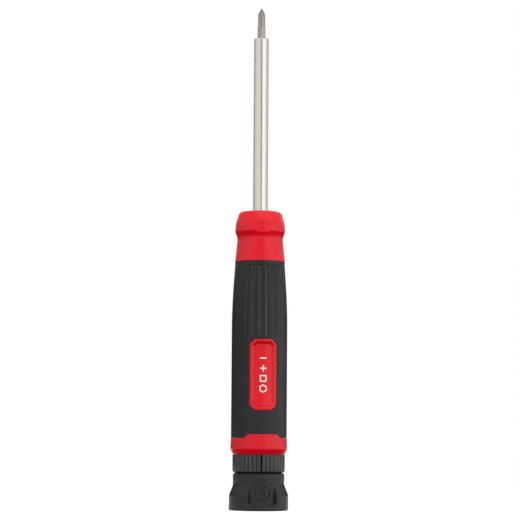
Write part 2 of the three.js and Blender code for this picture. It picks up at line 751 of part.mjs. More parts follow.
// The end cap: a barrel that flares to a skirt with grip pockets, hollow round a hub for its bush
function makeSpinCap() {
  const cavityTop = capTop - CAP_ROOF;
  const shell = turned([
    [plugSeatRadius, 0],
    [skirtRadius - CAP_FOOT_EDGE, 0],
    [skirtRadius, CAP_FOOT_EDGE],
    [skirtRadius, CAP_SKIRT_HEIGHT],
    [barrelRadius, CAP_SKIRT_HEIGHT + CAP_FLARE_HEIGHT],
    [barrelRadius, capTop - CAP_TOP_EDGE],
    [barrelRadius - CAP_TOP_EDGE, capTop],
    [hubBore, capTop],
    [hubBore, hubBottom],
    [hubRadius, hubBottom],
    [hubRadius, cavityTop],
    [capCavityRadius, cavityTop],
    [capCavityRadius, plugTop],
    [plugSeatRadius, plugTop],
    [plugSeatRadius, 0],
  ]);
  const half = POCKET_ANGLE / 2;
  const pocketTop = CAP_SKIRT_HEIGHT + CAP_FLARE_HEIGHT;
  const outside = skirtRadius + CAP_FLARE;
  const pockets = around(POCKETS, () => sector(barrelRadius, outside, -half, half, POCKET_RISE, pocketTop));
  return cut(shell, ...pockets);
}

function makeCapBush() {
  return tube(bushInner, bushOuter, hubBottom, capTop - RUNNING_GAP);
}

// The disc that closes the cap, dished for a fingertip
function makeCapPlug() {
  return turned([
    [0, PLUG_SINK + PLUG_DISH],
    [PLUG_DISH_DIAMETER / 4, PLUG_SINK + 0.75 * PLUG_DISH],
    [PLUG_DISH_DIAMETER / 2, PLUG_SINK],
    [plugSeatRadius - BOND_GAP, PLUG_SINK],
    [plugSeatRadius - BOND_GAP, plugTop],
    [0, plugTop],
  ]);
}

// Tip kinds and diameters of the bit in the shaft and of the spare bits, one row for each bit
const DRIVER_BIT = [["phillips", 3.5], ["slotted", 3]];
const SPARE_BITS = [
  [["phillips", 3], ["phillips", 2.4]],
  [["slotted", 3.2], ["slotted", 2.4]],
  [["star", 3.2], ["star", 2.8]],
  [["hex", 3], ["hex", 2.6]],
  [["square", 3], ["square", 2.6]],
  [["phillips", 2], ["slotted", 2]],
  [["star", 2.5], ["star", 2.3]],
  [["star", 2.1], ["star", 1.9]],
  [["hex", 2.3], ["hex", 2]],
  [["square", 2.3], ["square", 2]],
  [["slotted", 2.8], ["phillips", 2.8]],
  [["hex", 1.7], ["star", 1.7]],
];

function makeDriverBit() {
  const bit = piece("driver_bit", makeBit(...DRIVER_BIT), bitSteel);
  bit.position.z = bitBottom;
  bit.rotation.z = rad(-SOCKET_CLOCK);
  return bit;
}

// The spare bits stand in the magazine's chambers, tier by tier
function makeSpareBits() {
  return SPARE_BITS.slice(0, CHAMBERS * TIERS).map((ends, i) => {
    const tier = Math.floor(i / CHAMBERS);
    const angle = rad(FRONT) + (2 * Math.PI * i) / CHAMBERS;
    const number = String(i + 1).padStart(2, "0");
    const bit = piece(`spare_bit_${number}`, makeBit(...ends), bitSteel);
    bit.position.set(
      pitchRadius * Math.cos(angle),
      pitchRadius * Math.sin(angle),
      tierLevel(tier) + RUNNING_GAP,
    );
    bit.rotation.z = angle - rad(FRONT);
    return bit;
  });
}

const handle = bodyOf(
  piece("handle_core", makeHandleCore(), redPlastic),
  piece("grip_sleeve", makeGripSleeve(), blackRubber),
  piece("badge_plate_front", makeBadgePlate(), redPlastic),
  piece("badge_plate_back", geometryOf(makeBadgePlate()).rotateZ(Math.PI), redPlastic),
  piece("shaft", makeShaft(), polishedSteel),
  piece("socket_magnet", makeMagnet(), magnetNickel),
  piece("bit_clip_ring", makeClipRing(), springSteel),
);
const magazine = bodyOf(
  piece("bit_magazine", makeMagazine(), blackPlastic),
  ...makeSpareBits(),
  piece("magazine_o_ring", makeORing(), sealRubber),
  piece("neck_washer", makeNeckWasher(), blackPlastic),
  piece("thrust_washer", makeThrustWasher(), zincSteel),
  piece("axle_screw", makeAxleScrew(), zincSteel),
);
const lockRing = bodyOf(piece("lock_ring", makeLockRing(), blackPlastic));
const endCap = bodyOf(
  piece("spin_cap", makeSpinCap(), blackRubber),
  piece("cap_bush", makeCapBush(), brass),
  piece("cap_plug", makeCapPlug(), blackPlastic),
);

const screwdriver = new THREE.Group();
screwdriver.add(handle, makeDriverBit(), magazine, lockRing, endCap);

export default screwdriver;
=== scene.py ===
"""Studio picture of a multi-bit screwdriver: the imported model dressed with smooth, finished pieces."""
import json
import math

import bmesh
import bpy
import numpy as np
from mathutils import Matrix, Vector


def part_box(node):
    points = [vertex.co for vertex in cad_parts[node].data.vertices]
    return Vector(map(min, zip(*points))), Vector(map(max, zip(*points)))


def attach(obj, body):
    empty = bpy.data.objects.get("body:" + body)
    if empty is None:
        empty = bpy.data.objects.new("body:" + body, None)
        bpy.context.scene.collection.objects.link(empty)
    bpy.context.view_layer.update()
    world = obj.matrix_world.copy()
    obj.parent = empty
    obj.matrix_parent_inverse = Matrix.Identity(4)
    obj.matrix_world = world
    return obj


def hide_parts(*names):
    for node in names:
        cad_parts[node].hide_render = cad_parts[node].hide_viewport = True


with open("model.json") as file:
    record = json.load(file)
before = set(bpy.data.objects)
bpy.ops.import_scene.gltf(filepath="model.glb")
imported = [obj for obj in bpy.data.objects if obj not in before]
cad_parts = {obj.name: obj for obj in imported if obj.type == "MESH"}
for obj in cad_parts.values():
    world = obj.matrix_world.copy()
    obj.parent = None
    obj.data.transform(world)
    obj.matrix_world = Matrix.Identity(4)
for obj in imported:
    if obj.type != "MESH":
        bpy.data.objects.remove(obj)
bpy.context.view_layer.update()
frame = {"nodes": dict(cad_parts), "record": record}

MM = 0.001
TURN = 2 * math.pi


def low(node):
    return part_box(node)[0].z


def high(node):
    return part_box(node)[1].z


def reach(node):
    """Half the width of a node along X, which is its radius where it is round."""
    corner_low, corner_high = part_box(node)
    return (corner_high.x - corner_low.x) / 2


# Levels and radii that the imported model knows
BOND_GAP = 0.1 * MM
RUNNING_GAP = 0.3 * MM
NECK_CLOSE = 0.15 * MM
CAP_TOP = high("spin_cap") + NECK_CLOSE
RING_BOTTOM = low("lock_ring") - NECK_CLOSE
LUG_TOP = high("lock_ring")
SEAM_CLOSE = 0.1 * MM
HANDLE_BOTTOM = low("handle_core") - SEAM_CLOSE
RING_TOP = HANDLE_BOTTOM - RUNNING_GAP + 2 * SEAM_CLOSE
NOSE_TOP = high("handle_core")
SHAFT_BOTTOM = low("shaft") - BOND_GAP
SHAFT_TOP = high("shaft")
BIT_BOTTOM = low("driver_bit")
BIT_TOP = high("driver_bit")
BIT_LENGTH = BIT_TOP - BIT_BOTTOM
SOCKET_BOTTOM = BIT_BOTTOM - RUNNING_GAP
GRIP_TOP = high("grip_sleeve") + BOND_GAP
GRIP_BOTTOM = low("grip_sleeve") - BOND_GAP
BORE_GAP = 0.4 * MM
BORE_TOP = high("bit_magazine") + BORE_GAP
PLATE_BOTTOM = low("badge_plate_front")
PLATE_TOP = high("badge_plate_front")
PLUG_BOTTOM = low("cap_plug")
PLUG_TOP = high("cap_plug")
HUB_BOTTOM = low("cap_bush")
TAIL_RADIUS = reach("handle_core")
GRIP_RADIUS = reach("grip_sleeve")
RING_RADIUS = reach("lock_ring")
SKIRT_RADIUS = reach("spin_cap")
PLUG_RADIUS = reach("cap_plug")
MAGAZINE_RADIUS = reach("bit_magazine")
O_RING_LEVEL = (low("magazine_o_ring") + high("magazine_o_ring")) / 2

# Handle
BORE_RADIUS = MAGAZINE_RADIUS + BORE_GAP
TUBE_RADIUS = BORE_RADIUS + 1.5 * MM
GRIP_TOP_RADIUS = TUBE_RADIUS + 0.95 * MM
GRIP_SWELL_TOP = GRIP_TOP - 1.5 * MM
GRIP_SWELL_LENGTH = 31 * MM
WAIST_RADIUS = GRIP_TOP_RADIUS - 1.08 * MM
FLANGE_RADIUS = WAIST_RADIUS + 1.2 * MM
SHOULDER_RADIUS = FLANGE_RADIUS - 0.24 * MM
BEVEL_RADIUS = SHOULDER_RADIUS - 1.8 * MM
WAIST_LEVEL = NOSE_TOP - 13 * MM
FLANGE_LEVEL = NOSE_TOP - 9.9 * MM
SHOULDER_LEVEL = NOSE_TOP - 5.7 * MM
NOSE_EDGE = 1.7 * MM
NOSE_LIP = 0.08 * MM
NOSE_HOLE_EDGE = 0.1 * MM
NOSE_STEP = 0.5 * MM
SHOULDER_EDGE = 1.2 * MM
FLANGE_EDGE = 0.9 * MM
WAIST_EDGE = 1.4 * MM
NOSE_FLATS = 2
NOSE_FLAT_WIDTH = 6.1 * MM
NOSE_FLAT_DEPTH = 0.3 * MM
NOSE_FLAT_SOFT = 0.3 * MM
NOSE_FLAT_TOP = NOSE_TOP - 3.9 * MM
NOSE_FLAT_FULL = FLANGE_LEVEL + 2 * MM
NOSE_FLAT_SIDES = np.radians(np.arange(13.2, 16.8, 0.3))
TAIL_CHAMFER = 2.55 * MM
TAIL_START = GRIP_BOTTOM - 0.5 * MM
TAIL_EDGE = 0.7 * MM
TAIL_FOOT_RADIUS = RING_RADIUS - 0.2 * MM
TAIL_FOOT_EDGE = 0.1 * MM
TAB_HEIGHT = 1.8 * MM
TAB_TOP_HALF = 6.9 * MM
TAB_SLOPE = 2.1 * MM
FLUTES = 6
FLUTE_PITCH = math.radians(15)
FLUTE_HALF = 0.95 * MM
FLUTE_DEPTH = 0.45 * MM
FLUTE_TOP = GRIP_TOP - 2.05 * MM
FLUTE_BOTTOM_GAP = 1.4 * MM
FLUTE_TOP_RAMP = 0.35 * MM
FLUTE_FOOT_RAMP = 0.3 * MM
FLUTE_POLISH = 0.03 * MM
SEAM = 0.02 * MM
GRIP_EDGE = 0.05 * MM
WINDOW_START = 2 * MM

# Badge: a frame with a lip and a bevel down to its panel
BADGE_HALF = 6.55 * MM
BADGE_CORNER = 2.4 * MM
BADGE_MARGIN = 1.2 * MM
BADGE_BOTTOM = PLATE_BOTTOM - BADGE_MARGIN
BADGE_TOP = PLATE_TOP + BADGE_MARGIN
BADGE_RADIUS = GRIP_RADIUS - 0.1 * MM
BADGE_LIP = 1.15 * MM
BADGE_BEVEL = 1.15 * MM
PANEL_RADIUS = BADGE_RADIUS - 1.1 * MM
PANEL_THICKNESS = 0.8 * MM
PANEL_RUNOUT = 8.4 * MM
PANEL_FOOT_SINK = 0.08 * MM
BADGE_INNER = BADGE_LIP + BADGE_BEVEL
BADGE_EDGE = 0.16 * MM
BADGE_ROOT = TUBE_RADIUS - 0.2 * MM
FRAME_SINK = 0.05 * MM
FLUTE_BOTTOM = BADGE_TOP + FLUTE_BOTTOM_GAP

# Shaft and bits
SHAFT_RADIUS = 3.675 * MM
SHAFT_EDGE = 0.85 * MM
SHAFT_END_WIDTH = 0.9 * MM
SOCKET_LEAD = 0.15 * MM
SOCKET_ACROSS_FLATS = 4.2 * MM
BIT_ACROSS_FLATS = 4 * MM
BIT_TIP_LENGTH = 8.9 * MM
BIT_TIP_RADIUS = 1.7 * MM
BIT_ROOT_RADIUS = 1.85 * MM
BIT_ROOT_SLOPE = 0.9
BIT_ROOT_RAMP = 0.6 * MM
BIT_CREASE = 28
POINT_RADIUS = 0.35 * MM
POINT_SLOPE = math.tan(math.radians(26.5))
POINT_RUN = 5.9 * MM
POINT_WALL = math.radians(46)
POINT_CLOCK = math.radians(46)
BLADE_RUN = 4.2 * MM
BLADE_HALF = 0.25 * MM
BLADE_BEND = 1.4
KEY_LENGTH = 4.6 * MM
KEY_LEAD = 0.9
KEY_LEAD_SLOPE = 0.5
STAR_DEPTH = 0.24
SOCKET_CLOCK = math.radians(-9)
CHAMBERS = 6

# Kind and diameter of each bit's upper and lower tip, in millimetres
DRIVER_TIPS = (("phillips", 3.5), ("slotted", 3))
SPARE_BITS = (
    (("phillips", 3), ("phillips", 2.4)),
    (("slotted", 3.2), ("slotted", 2.4)),
    (("star", 3.2), ("star", 2.8)),
    (("hex", 3), ("hex", 2.6)),
    (("square", 3), ("square", 2.6)),
    (("phillips", 2), ("slotted", 2)),
    (("star", 2.5), ("star", 2.3)),
    (("star", 2.1), ("star", 1.9)),
    (("hex", 2.3), ("hex", 2)),
    (("square", 2.3), ("square", 2)),
    (("slotted", 2.8), ("phillips", 2.8)),
    (("hex", 1.7), ("star", 1.7)),
)

# Lock ring: the groove between two ribs is given in shares of their pitch, the index's rim in radians
RIBS = 36
RIB_DEPTH = 0.4 * MM
RIB_CROWN = 0.18 * MM
GROOVE_EDGE = 0.13
GROOVE_FLOOR = 0.02
RING_EDGE = 0.55 * MM
RING_TOP_EDGE = 0.15 * MM
INDEX_HALF = 0.42 * MM
INDEX_DEPTH = 2.1 * MM
INDEX_CLOCK = math.radians(-3)
INDEX_RIM = 0.002
STUB_RADIUS = MAGAZINE_RADIUS - 1.3 * MM
SLEEVE_INNER = MAGAZINE_RADIUS + RUNNING_GAP
SLEEVE_OUTER = SLEEVE_INNER + 0.9 * MM
LOCK_BORE = SLEEVE_OUTER + RUNNING_GAP
LUGS = 3
LUG_HALF = math.radians(15)
LUG_RADIUS = LOCK_BORE + 0.8 * MM
LUG_SLOT_RADIUS = LUG_RADIUS + RUNNING_GAP
LUG_HEIGHT = 1.8 * MM
LUG_EDGE = 0.25 * MM
LUG_BOTTOM = LUG_TOP - LUG_HEIGHT
LOCK_TURN = math.radians(40)
LOCK_CLEARANCE = math.radians(3)

# End cap
BARREL_RADIUS = RING_RADIUS - 0.24 * MM
SKIRT_LEVEL = 7.4 * MM
FLARE_LEVEL = 12.5 * MM
FLARE_BEND = 0.25
SKIRT_DRAFT = 0.07 * MM
CAP_FOOT_EDGE = 1.1 * MM
CAP_FOOT_LEVEL = CAP_FOOT_EDGE * 1.2
CAP_TOP_EDGE = 0.7 * MM
POCKETS = 3
POCKET_HALF = math.radians(29) * SKIRT_RADIUS
POCKET_BOTTOM = 2.6 * MM
POCKET_CORNER = 1.6 * MM
POCKET_WALL = 0.22 * MM
POCKET_RAMP = 1.25 * MM
HUB_BORE = 6.2 * MM
CAP_CAVITY = PLUG_RADIUS - 0.3 * MM
DISH_DEPTH = 0.6 * MM
DISH_FLOOR_RADIUS = 4.5 * MM
DISH_RADIUS = 8.4 * MM

# Signs: the arrow's start and arc are given in degrees from the right
SIGN_DEPTH = 0.5 * MM
SIGN_LINE = 0.6 * MM
SIGN_RADIUS = 3.7 * MM
SIGN_LEVEL = 8.6 * MM
ARROW_HEAD = np.array(((-1.3, 0.9), (-1.0, -1.1), (0.8, -0.1))) * MM
ARROW_START = 60
ARC_FIRST = 70
ARC_LAST = 380
LOCK_HALF = 1.25 * MM
LOCK_DROP = 1.7 * MM
LOCK_RISE = 0.1 * MM
SHACKLE_RISE = 0.95 * MM
SHACKLE_RADIUS = 0.8 * MM
SIGN_EXTRA = 0.1 * MM
SHACKLE_LINE = 0.45 * MM
POINTER_LEVEL = 15.4 * MM
POINTER_HEIGHT = 1.9 * MM
POINTER_TOP_HALF = 1.3 * MM
POINTER_FOOT_HALF = 0.4 * MM
MARK_SIZE = 3.2 * MM
MARK_LINE = 0.65 * MM
MARK_PITCH = 4.9 * MM
MARK_RISE = 0.6 * MM
MARK_SINK = 0.05 * MM
MARK_PROUD = 0.04 * MM
MARK_OVERLAP = 0.005 * MM
SQUARE_SCALE = 1.2
HEXAGON_SCALE = 1.1

# Neck washer and seal
WASHER_HOLE = 4.6 * MM
WASHER_STEP = 0.5 * MM
WASHER_EDGE = 0.15 * MM
O_RING_WIRE = 0.6 * MM

# Mesh helpers: every piece is a closed skin lofted through rings of points

CREASE = 35
WELD = 1e-7
STEP_HALF = 0.001


def ease(edge_low, edge_high, value):
    """A smooth step from 0 at edge_low to 1 at edge_high, whichever is the larger."""
    share = np.clip((value - edge_low) / (edge_high - edge_low), 0, 1)
    return share * share * (3 - 2 * share)


def rounded(corners, steps=6):
    """A profile through (radius, level, edge) corners, each cut back by its edge and bent round."""
    points = []
    for i, (r, z, edge) in enumerate(corners):
        corner = np.array((r, z))
        if edge == 0 or i in (0, len(corners) - 1):
            points.append(corner)
            continue
        before = np.array(corners[i - 1][:2]) - corner
        after = np.array(corners[i + 1][:2]) - corner
        start = corner + before * min(edge / np.linalg.norm(before), 0.5)
        end = corner + after * min(edge / np.linalg.norm(after), 0.5)
        for t in np.linspace(0, 1, steps + 1):
            points.append((1 - t) ** 2 * start + 2 * t * (1 - t) * corner + t * t * end)
    return points


def spread(points, step):
    """The same profile with stretches longer than a step divided."""
    result = [points[0]]
    for start, end in zip(points, points[1:]):
        count = max(1, math.ceil(np.linalg.norm(end - start) / step))
        result += [start + (end - start) * k / count for k in range(1, count + 1)]
    return result


def angles_with(extra=(), step=math.radians(1)):
    """Even angles round the axis, with extra ones put in where a feature has its edges."""
    extra = np.mod(np.array(extra, float), TURN)
    even = np.arange(0, TURN, step)
    if len(extra):
        apart = np.abs(even[:, None] - extra[None, :]).min(axis=1)
        even = even[apart > step / 3]
    return np.unique(np.round(np.concatenate((even, extra)), 9))


def ring(angles, radius, level):
    """Points round the axis; the angle counts from the front, which faces -Y, towards +X."""
    radius = np.broadcast_to(radius, angles.shape)
    level = np.broadcast_to(level, angles.shape)
    return np.column_stack((radius * np.sin(angles), -radius * np.cos(angles), level))


def turned(angles, profile):
    """Rings through each (radius, level) point of a profile."""
    return [ring(angles, r, z) for r, z in profile]


def nearest(angles, count, first=0.0):
    """The signed angle from the nearest of count places spaced evenly round the axis."""
    pitch = TURN / count
    return np.mod(angles - first + pitch / 2, pitch) - pitch / 2


def mesh_object(name, vertices, faces, crease=CREASE):
    """A new object whose faces all point outwards, smooth except at edges sharper than the crease."""
    mesh = bpy.data.meshes.new(name)
    mesh.from_pydata([tuple(v) for v in vertices], [], faces)
    shell = bmesh.new()
    shell.from_mesh(mesh)
    bmesh.ops.remove_doubles(shell, verts=shell.verts, dist=WELD)
    bmesh.ops.recalc_face_normals(shell, faces=shell.faces)
    shell.to_mesh(mesh)
    shell.free()
    mesh.polygons.foreach_set("use_smooth", [True] * len(mesh.polygons))
    mesh.set_sharp_from_angle(angle=math.radians(crease))
    obj = bpy.data.objects.new(name, mesh)
    bpy.context.scene.collection.objects.link(obj)
    return obj


def loft(name, rings, loop=False, crease=CREASE):
    """A closed skin through rings of equal length; a loop joins its last ring to its first."""
    count = len(rings[0])
    vertices = np.concatenate(rings)
    pairs = [(i, i + 1) for i in range(len(rings) - 1)]
    if loop:
        pairs.append((len(rings) - 1, 0))
    faces = []
    for a, b in pairs:
        for k in range(count):
            n = (k + 1) % count
            faces.append((a * count + k, a * count + n, b * count + n, b * count + k))
    if not loop:
        for index in (0, len(rings) - 1):
            centre = len(vertices)
            vertices = np.vstack((vertices, rings[index].mean(axis=0)))
            for k in range(count):
                faces.append((index * count + k, index * count + (k + 1) % count, centre))
    return mesh_object(name, vertices, faces, crease)


def in_triangles(obj):
    """Divides an object's faces into triangles, which are flat and so cut cleanly."""
    shell = bmesh.new()
    shell.from_mesh(obj.data)
    bmesh.ops.triangulate(shell, faces=shell.faces)
    shell.to_mesh(obj.data)
    shell.free()


def cut_away(obj, cutters):
    """Cuts closed skins out of an object, all at once, and removes them."""
    tools = bpy.data.collections.new("cutters")
    for cutter in cutters:
        in_triangles(cutter)
        tools.objects.link(cutter)
    in_triangles(obj)
    modifier = obj.modifiers.new("cut", "BOOLEAN")
    modifier.operation = "DIFFERENCE"
    modifier.solver = "EXACT"
    modifier.operand_type = "COLLECTION"
    modifier.collection = tools
    bpy.context.view_layer.update()
    shape = bpy.data.meshes.new_from_object(obj.evaluated_get(bpy.context.evaluated_depsgraph_get()))
    obj.modifiers.clear()
    old = obj.data
    obj.data = shape
    shape.name = old.name
    bpy.data.meshes.remove(old)
    shape.polygons.foreach_set("use_smooth", [True] * len(shape.polygons))
    shape.set_sharp_from_angle(angle=math.radians(CREASE))
    for cutter in cutters:
        mesh = cutter.data
        bpy.data.objects.remove(cutter)
        bpy.data.meshes.remove(mesh)
    bpy.data.collections.remove(tools)


def half_turn(obj):
    """Turns a piece's points half a turn about the axis, from the front to the back."""
    for vertex in obj.data.vertices:
        vertex.co.x, vertex.co.y = -vertex.co.x, -vertex.co.y


# Materials: sizes of their patterns, and the normals between which an underside loses its sheen, a painted
# shade that stands in for a dark reflection below

TONE_SIZE = 14 * MM
GLOSS_SIZE = 3 * MM
GLOSS_SHIFT = 0.05
STREAK_SIZE = 0.2 * MM
METAL_TONE_SIZE = 9 * MM
DOWN_START = -0.1
DOWN_FULL = -0.3
# Specular level on faces that look down: painted shade, standing in for a dark reflection below them
UNDERSIDE_SHADE_SPECULAR = 0.02


def new_material(name):
    material = bpy.data.materials.new(name)
    material.use_nodes = True
    shader = material.node_tree.nodes["Principled BSDF"]
    return material, shader


class Nodes:
    """Short calls for the nodes that the materials share."""

    def __init__(self, material):
        self.tree = material.node_tree
        self.place = self.add("ShaderNodeTexCoord").outputs["Object"]

    def add(self, kind, **settings):
        node = self.tree.nodes.new(kind)
        for key, value in settings.items():
            setattr(node, key, value)
        return node

    def link(self, source, target):
        self.tree.links.new(source, target)

    def stretched(self, scale):
        """Object coordinates with their own scale along each axis."""
        mapping = self.add("ShaderNodeMapping")
        mapping.inputs["Scale"].default_value = scale
        self.link(self.place, mapping.inputs["Vector"])
        return mapping.outputs["Vector"]

    def noise(self, size, detail=3, vector=None):
        """Noise whose features are about the given size in metres."""
        node = self.add("ShaderNodeTexNoise")
        node.inputs["Scale"].default_value = 1 / size
        node.inputs["Detail"].default_value = detail
        self.link(vector or self.place, node.inputs["Vector"])
        return node.outputs["Fac"]

    def mix(self, fac, first, second):
        """A colour between two, by a factor."""
        node = self.add("ShaderNodeMix", data_type="RGBA")
        self.link(fac, node.inputs["Factor"])
        node.inputs[6].default_value = (*first, 1)
        node.inputs[7].default_value = (*second, 1)
        return node.outputs[2]

    def span(self, value, low_value, high_value):
        """A value from 0 to 1 mapped onto a span."""
        node = self.add("ShaderNodeMapRange")
        node.inputs["To Min"].default_value = low_value
        node.inputs["To Max"].default_value = high_value
        self.link(value, node.inputs["Value"])
        return node.outputs["Result"]

    def facing_down(self):
        """0 on upright and upward faces, rising to 1 on faces that look down."""
        split = self.add("ShaderNodeSeparateXYZ")
        self.link(self.add("ShaderNodeNewGeometry").outputs["Normal"], split.inputs["Vector"])
        node = self.add("ShaderNodeMapRange")
        node.inputs["From Min"].default_value = DOWN_START
        node.inputs["From Max"].default_value = DOWN_FULL
        self.link(split.outputs["Z"], node.inputs["Value"])
        return node.outputs["Result"]

    def bump(self, height, depth, shader, strength=0.5):
        node = self.add("ShaderNodeBump")
        node.inputs["Strength"].default_value = strength
        node.inputs["Distance"].default_value = depth
        self.link(height, node.inputs["Height"])
        self.link(node.outputs["Normal"], shader.inputs["Normal"])


def moulded(name, dark, light, roughness, grain, depth, strength=0.4, specular=0.3):
    """Moulded plastic or rubber: fine grain, slow shifts of tone and gloss, and painted shade on undersides,
    whose sheen is cut as if they mirrored something dark below.
    """
    material, shader = new_material(name)
    nodes = Nodes(material)
    slow = nodes.noise(TONE_SIZE, detail=2)
    nodes.link(nodes.mix(slow, dark, light), shader.inputs["Base Color"])
    gloss = nodes.span(nodes.noise(GLOSS_SIZE), roughness - GLOSS_SHIFT, roughness + GLOSS_SHIFT)
    nodes.link(gloss, shader.inputs["Roughness"])
    nodes.bump(nodes.noise(grain, detail=4), depth, shader, strength)
    # Painted shade: the sheen falls away on faces that look down, as if they mirrored something dark below
    sheen = nodes.span(nodes.facing_down(), specular, UNDERSIDE_SHADE_SPECULAR)
    nodes.link(sheen, shader.inputs["Specular IOR Level"])
    return material


def drawn_metal(name, dark, light, roughness, lines, depth=0.01 * MM, strength=0.15):
    """Metal with fine turned or drawn lines, stretched along or across the axis."""
    material, shader = new_material(name)
    nodes = Nodes(material)
    streaks = nodes.noise(STREAK_SIZE, detail=4, vector=nodes.stretched(lines))
    nodes.link(nodes.mix(nodes.noise(METAL_TONE_SIZE), dark, light), shader.inputs["Base Color"])
    nodes.link(nodes.span(streaks, roughness - 0.04, roughness + 0.06), shader.inputs["Roughness"])
    nodes.bump(streaks, depth, shader, strength)
    shader.inputs["Metallic"].default_value = 1
    return material


ALONG = (1, 1, 0.02)
ACROSS = (0.02, 0.02, 1)
EVEN = (1, 1, 1)
GRIP_DARK = (0.0135, 0.0128, 0.0135)
GRIP_LIGHT = (0.0165, 0.0157, 0.0165)

# Dark tone, light tone, roughness, size and depth of the grain, its strength, and the gloss
PLASTICS = {
    "red_plastic": ((0.74, 0.0022, 0.0125), (0.78, 0.003, 0.015), 0.3, 0.25 * MM, 0.006 * MM, 0.4, 0.36),
    "grip_rubber": (GRIP_DARK, GRIP_LIGHT, 0.3, 0.22 * MM, 0.008 * MM, 0.4, 0.26),
    "cap_rubber": ((0.016, 0.0147, 0.0163), (0.019, 0.0175, 0.0193), 0.34, 0.25 * MM, 0.01 * MM),
    "ring_plastic": ((0.0255, 0.0215, 0.0205), (0.03, 0.0255, 0.0245), 0.22, 0.3 * MM, 0.004 * MM, 0.4, 0.5),
    "black_plastic": ((0.004, 0.004, 0.0042), (0.006, 0.006, 0.0062), 0.5, 0.3 * MM, 0.015 * MM, 0.4, 0.2),
    "seal_rubber": ((0.012, 0.012, 0.012), (0.016, 0.016, 0.016), 0.5, 0.4 * MM, 0.01 * MM),
}
# Dark tone, light tone, roughness, run of the lines, their depth and strength
METALS = {
    "polished_steel": ((0.60, 0.565, 0.515), (0.64, 0.605, 0.55), 0.17, ACROSS, 0.01 * MM, 0.05),
    "bit_steel": ((0.285, 0.264, 0.243), (0.325, 0.3, 0.279), 0.27, ALONG, 0.01 * MM, 0.12),
    "zinc_steel": ((0.55, 0.56, 0.58), (0.6, 0.61, 0.62), 0.32, EVEN),
    "spring_steel": ((0.3, 0.3, 0.31), (0.36, 0.36, 0.37), 0.3, EVEN),
    "magnet_nickel": ((0.6, 0.6, 0.58), (0.66, 0.65, 0.63), 0.2, EVEN),
    "brass": ((0.6, 0.42, 0.15), (0.66, 0.47, 0.18), 0.3, ACROSS),
}
MATERIALS = {name: moulded(name, *values) for name, values in PLASTICS.items()}
MATERIALS.update((name, drawn_metal(name, *values)) for name, values in METALS.items())
FLUTE_GLOSS = moulded("flute_gloss", GRIP_DARK, GRIP_LIGHT, 0.1, 0.22 * MM, 0.002 * MM, specular=0.33)
PRINT = moulded("print_white", (0.78, 0.76, 0.76), (0.84, 0.82, 0.82), 0.5, 0.2 * MM, 0.005 * MM)


def finish_piece(obj, body, slot, *nodes):
    """Gives a new piece its material and its body, and hides the nodes that it stands for."""
    obj.data.materials.clear()
    obj.data.materials.append(MATERIALS[slot])
    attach(obj, body)
    if nodes:
        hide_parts(*nodes)
    return obj


# Handle core: nose, hidden tube and tail with its tabs, in one skin


def grip_surface(level):
    """Radius of the grip: even below the nose, then a swell to the full grip."""
    share = np.clip((GRIP_SWELL_TOP - level) / GRIP_SWELL_LENGTH, 0, 1)
    return GRIP_TOP_RADIUS + (GRIP_RADIUS - GRIP_TOP_RADIUS) * np.sin(share * math.pi / 2)


def tab_level(angles):
    """Where the tail ends and the grip begins: a trapezium tab, front and back."""
    side = np.abs(GRIP_RADIUS * np.sin(angles))
    share = np.clip((TAB_TOP_HALF + TAB_SLOPE - side) / TAB_SLOPE, 0, 1)
    return GRIP_BOTTOM + TAB_HEIGHT * share


def tab_edges():
    """Angles at which the tabs' outlines bend."""
    bends = [math.asin(x / GRIP_RADIUS) for x in (TAB_TOP_HALF, TAB_TOP_HALF + TAB_SLOPE)]
    return [sign * a + side for a in bends for sign in (1, -1) for side in (0, math.pi)]


def with_flats(angles, radius, level):
    """The nose's radius with a shallow recess sunk into the flange, front and back."""
    across = np.abs(FLANGE_RADIUS * np.sin(nearest(angles, NOSE_FLATS)))
    half = NOSE_FLAT_WIDTH / 2
    inside = ease(half + NOSE_FLAT_SOFT, half - NOSE_FLAT_SOFT, across)
    sunk = NOSE_FLAT_DEPTH * inside * ease(NOSE_FLAT_TOP, NOSE_FLAT_FULL, level)
    if level < FLANGE_LEVEL:
        return np.minimum(radius, FLANGE_RADIUS - sunk)
    return radius - sunk


def lock_wall(angles, turn):
    """The lock bore's wall, with a slot for each lug that runs on by the turn."""
    away = nearest(angles, LUGS, first=turn / 2)
    half = LUG_HALF + LOCK_CLEARANCE + turn / 2
    return np.where(np.abs(away) < half, LUG_SLOT_RADIUS, LOCK_BORE)


